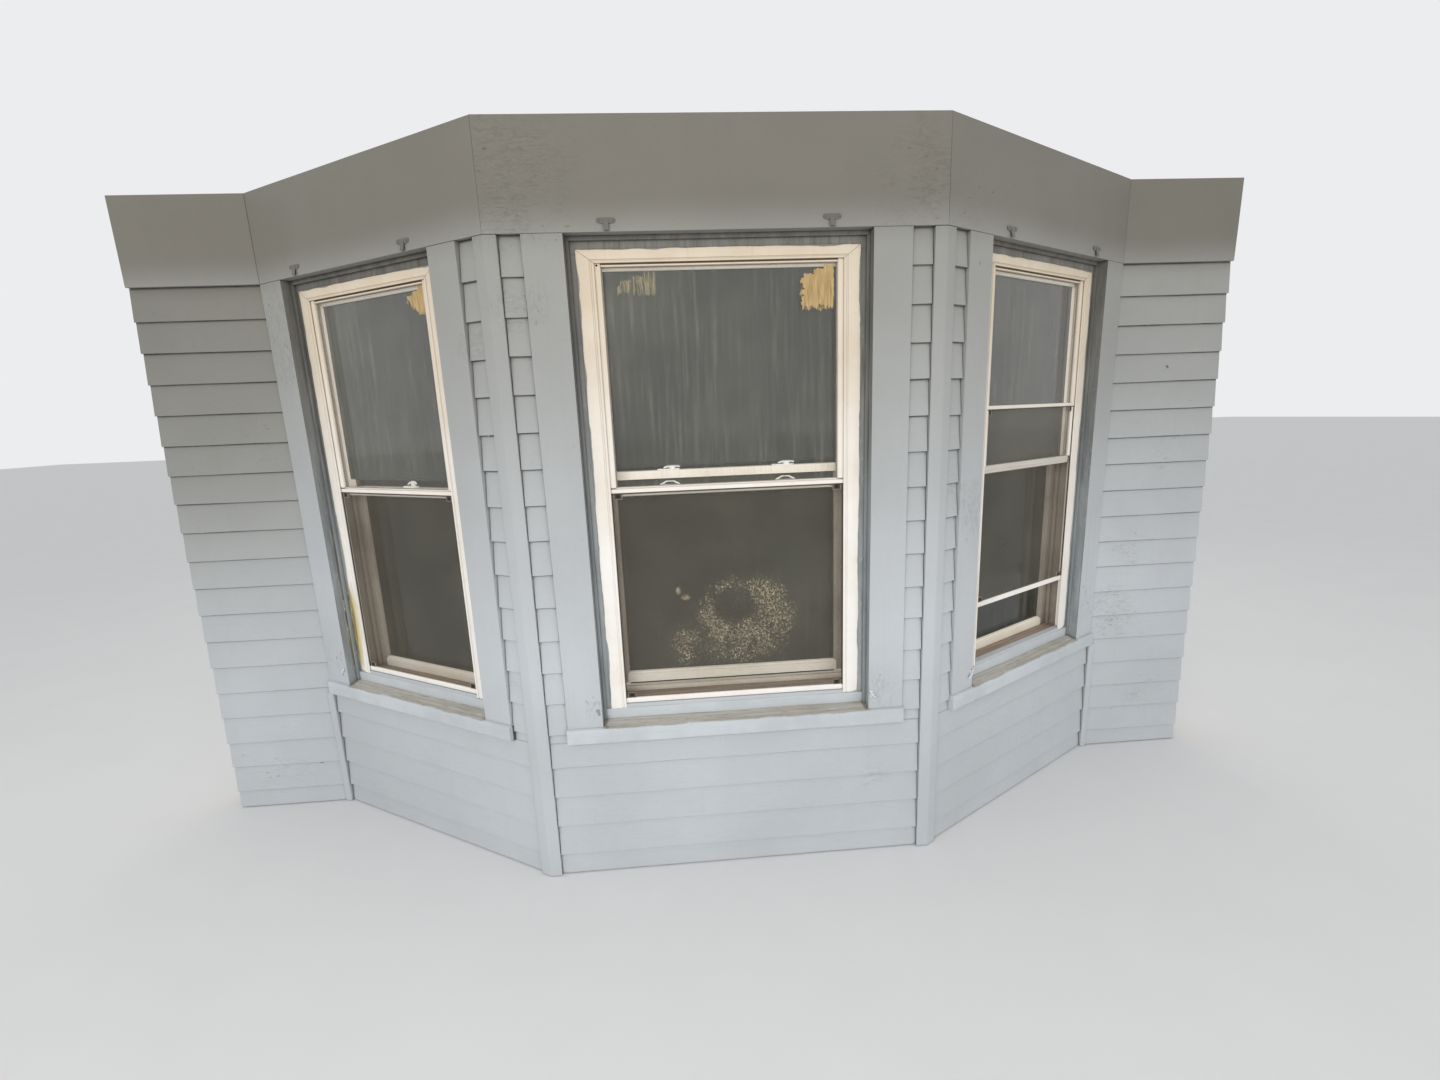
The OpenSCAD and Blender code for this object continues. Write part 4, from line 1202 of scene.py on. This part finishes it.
def sashes(wall, half):
    half = half - LINER - 0.3
    inner, between = half - STILE, half - STOP - 1
    up = FRONT_UP if wall == 2 else 0.0
    z_top = HEAD - LINER - 0.3
    shape = Shape()
    sash(shape, half, *UPPER, MEET, z_top, MEET_H, STILE)
    shape.across(between, 98.3, 106.5, MEET, MEET_TOP, 120)
    shape.fit("upper_sash_frame", wall, "sash", ["{}_upper_sash"], 0.8)
    shape = Shape()
    low, top = RISER + 8.3 + up, MEET_TOP + up
    sash(shape, half, *LOWER, low, top, 36, MEET_H)
    # The lower sash's uprights take the darker stile cream: painted shade
    for k, face in enumerate(shape.faces):
        xs = [shape.verts[v][0] for v in face]
        if min(abs(x) for x in xs) > inner - 0.5 and (min(xs) > 0 or max(xs) < 0):
            shape.slots[k] = 2
    shape.across(between, 106.8, 114.7, MEET + up, top, 120)
    # A dark strip under the sash that paints its shadow line, and a dark lip along the room side of
    # its meeting rail that stands for the dark room behind the panes' clear band: painted shade
    shape.across(inner, 114.5, 121, low - 5, low + 0.5, 120, 1)
    shape.across(between, 139, 147, top - 1, top + (18 if up else 36), 120, 1)
    shape.fit("lower_sash_frame", wall, "sash lip stile", ["{}_lower_sash"], 0.8)
    panes = Shape()
    panes.across(inner + 4, 80.8, 83.8, MEET_TOP - 3, z_top - STILE + 4)
    panes.across(inner + 4, 129.2, 132.2, low + 33, MEET + up + 3)
    lets_light_in(panes.fit("sash_panes", wall, f"panes_{wall}", ["sash_glass"], 0))
    pane = Shape()
    pane.across(HALF[wall] - BLIND - 0.3 - WALL - LINER + 2, 55.5, 58.5, RAIL_TOP - 2,
                LIGHT_TOP + 2)
    lets_light_in(pane.fit("storm_pane", wall, f"storm_pane_{wall}", ["storm_glass"], 0))


def fittings(wall, half):
    def bar(line, x, z, s=1, k=1.0, sides=8, mat=0):
        """A bar along rows of place, depth, height and radius, mirrored by s and stretched by k."""
        shape.tube([(x + s * a, d, z + b * k) for a, d, b, _ in line], [r for *_, r in line],
                   sides, mat)

    up = FRONT_UP if wall == 2 else 0.0
    top = MEET_TOP + up
    tall = 1.0 if up else 1.6
    shape = Shape()
    for x in ((-185, 185) if wall == 2 else (0,)):
        # Plate, pivot, lever and screws; on the front also the keeper on the upper sash
        plate = rounded(rect(x - 36, x + 36, 109.5, 127), {0: 6, 1: 6, 2: 6, 3: 6})
        shape.prism("z", plate, top, top + 3.6 * tall)
        shape.prism("z", circle(x + 12, 118.5, 10, 8.5, 16), top + 3, top + 11 * tall)
        lever = ((-16, 116.5, 7, 2.2), (-4, 116.5, 10.5, 3.6), (8, 116.5, 12.5, 4.6),
                 (20, 114.5, 12.6, 4.6), (30, 113, 11.5, 3.6), (36, 113.5, 9, 2.6))
        bar(lever, x, top, k=tall)
        for s in (-1, 1):
            shape.prism("z", circle(x + s * 29, 120, 2.6, 2.6, 8), top + 3, top + 4.6)
        if up:
            shape.box(x - 30, x + 36, 86, 99, MEET_TOP, MEET_TOP + 3)
            keeper = ((-28, 92, 4, 2.0), (-17, 92, 8, 2.8), (-9, 91, 13, 2.4), (3, 91, 13.5, 1.3),
                      (15, 91, 13, 2.6), (22, 92, 9, 2.8), (34, 92, 4, 2.0))
            bar(keeper, x, MEET_TOP)
    shape.fit("sash_locks", wall, "lock", ["sash_locks"], 0.5)

    shape = Shape()
    reach = half - (122 if wall == 2 else 95)
    plate = [(-27, 2), (-24, 7), (-14, 8), (14, 8), (24, 7), (27, 2), (24, -4), (12, -7),
             (-12, -7), (-24, -4)]
    # The hook: a strap that comes forward and turns up at its end
    strap = [(7, -2), (-2, -4.2), (-12, -5.4), (-20, -8.2), (-25, -8.8), (-22, -5.5)]
    for x in (-reach, reach):
        z = HEAD + 28
        shape.prism("y", [(x + p, z + q) for p, q in plate], -2.6, 0.4)
        for s in (-1, 1):
            shape.disc(x + s * 19, -2.6, z + 1.5, 4.2, 1.6)
        for (za, ya), (zb, yb) in zip(strap, strap[1:]):
            shape.prism("x", [(ya - 0.1, z + za), (yb - 0.1, z + zb), (yb + 2.1, z + zb),
                              (ya + 2.1, z + za)], x - 7.5, x + 7.5)
    z = RISER + 10
    for x in {1: [-half - 22], 2: [-half - 13, half + 12], 3: [-half - 12]}[wall]:
        if (wall, x < 0) == (2, True):
            # A lump under many coats of paint
            shape.disc(x, 0.3, z + 4, 9, 3.0)
            shape.disc(x + 3, 0.3, z - 8, 6, 2.4)
            continue
        s = -1 if x < 0 else 1
        shape.prism("y", [(x - 6, z - 12), (x + 5, z - 13), (x + 6, z + 11), (x - 5, z + 13)],
                    -1.4, 0.4, mat=1)
        bar(((-9, -2.2, 15, 3.0), (-5, -5, 8, 3.8), (1, -7.4, -1, 3.4), (8, -5.4, -10, 3.6),
             (13, -2.4, -15, 2.6)), x, z, s, mat=1)
        bar(((-2, -2, -8, 2.2), (2, -4.6, -2, 2.6), (6, -4.4, 4, 1.8)), x, z, s, sides=6, mat=1)
    shape.fit("hooks_and_catches", wall, "hook catch", ["window_hooks"], 0.4)


# ---------------------------------------------------------------- inside
def inside_trim(wall, half):
    stool, wide, thick, mitre_gap = RISER + 24, 98.0, 21.0, 0.3
    band = [(0, 0), (0, -12), (7, -15), (78, -17.5), (82, -14), (86, -thick), (wide, -thick),
            (wide, 0)]
    shape = Shape()
    shape.mirrored([(half + w, ROOM - d) for w, d in band], stool,
                   lambda p, q: HEAD + (abs(p) - half) - mitre_gap, 80)
    shape.prism("x", [(ROOM - d, HEAD + w) for w, d in band],
                lambda d, z: -half - (z - HEAD) + mitre_gap,
                lambda d, z: half + (z - HEAD) - mitre_gap, 80)
    shape.fit("inside_casing", wall, "trim", ["inner_casings"], 0.8)
    shape = Shape()
    reach = half + wide
    shape.prism("x", rounded(rect(ROOM, ROOM + 58, RISER, stool), {1: 9, 2: 9}), -reach - 12,
                reach + 12, 80)
    apron = [(ROOM, RISER - 90), (ROOM + 14, RISER - 90), (ROOM + 18, RISER - 74),
             (ROOM + 18, RISER), (ROOM, RISER)]
    shape.prism("x", rounded(apron, {1: 5}), -reach, reach, 80)
    shape.fit("inside_stool", wall, "trim", ["window_stools"])


def baseboards():
    profile = [(0, 0), (18, 0), (18, 118), (11, 126), (12, 138), (6, 150), (0, 150)]
    profile = rounded([(ROOM + d, FLOOR_Z + z) for d, z in profile], {4: 4})
    for wall in range(5):
        shape = Shape()
        shape.prism("x", profile, lambda d, z: span(wall, d)[0], lambda d, z: span(wall, d)[1], 90)
        shape.make(f"baseboard_{wall + 1}", wall, 0, "trim", ["baseboards"], 0.8)


def corner_way(k):
    """Inward mitre direction at a corner of the plan, per unit of depth."""
    a, b = (Vector((-math.sin(math.radians(HEADING[i])), math.cos(math.radians(HEADING[i]))))
            for i in (k - 1, k))
    return (a + b) / (1 + a.dot(b))


def floor_boards():
    """Boards along the house wall, cut to the bay's plan."""
    back, front = (Vector(PLAN[k]) + CORE_BACK * corner_way(k) for k in (1, 2))
    width, gap = 82.0, 0.4
    shape = Shape()
    y, k = front.y, 0

    def reach(y):
        """How far the plan reaches at y, from the middle."""
        t = (y - front.y) / (back.y - front.y)
        return -(front.x + (back.x - front.x) * min(t, 1.0))

    while y < CORE_BACK - 2:
        top = min(y + width, CORE_BACK)
        roll = dice("floor", k)
        a, b = reach(y + gap), reach(top - gap)
        cut = roll.uniform(-0.5, 0.5) * a
        for x0, x1, x2, x3 in ((-a, cut - gap, cut - gap, -b), (cut + gap, a, b, cut + gap)):
            level = FLOOR_Z - roll.uniform(0.0, 0.5)
            shape.prism("z", [(x0, y + gap), (x1, y + gap), (x2, top - gap), (x3, top - gap)],
                        FLOOR_Z - FLOOR_T, level)
        y, k = y + width, k + 1
    shape.make("floor_boards", None, 0, "boards", ["bay_floor"])


def cad_finishes():
    """Materials of the CAD nodes that stay."""
    for look, nodes in {
            "wall": ("front_wall", "left_side_wall", "right_side_wall", "left_wing_wall",
                     "right_wing_wall"),
            "plaster": ("plaster_lining", "bay_ceiling"),
            "joist": ("floor_joists", "ceiling_joists"),
            "header": ("bay_header",)}.items():
        for node in nodes:
            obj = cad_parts[node]
            for place in obj.material_slots:
                place.material = LOOKS[look]
            if not obj.material_slots:
                obj.data.materials.append(LOOKS[look])


camera()
stage()
clapboards()
friezes()
corner_boards()
for build in (casings, sills, window_frames, storm_windows, screens, sashes, fittings, inside_trim):
    for wall in (1, 2, 3):
        build(wall, HALF[wall])
baseboards()
floor_boards()
cad_finishes()
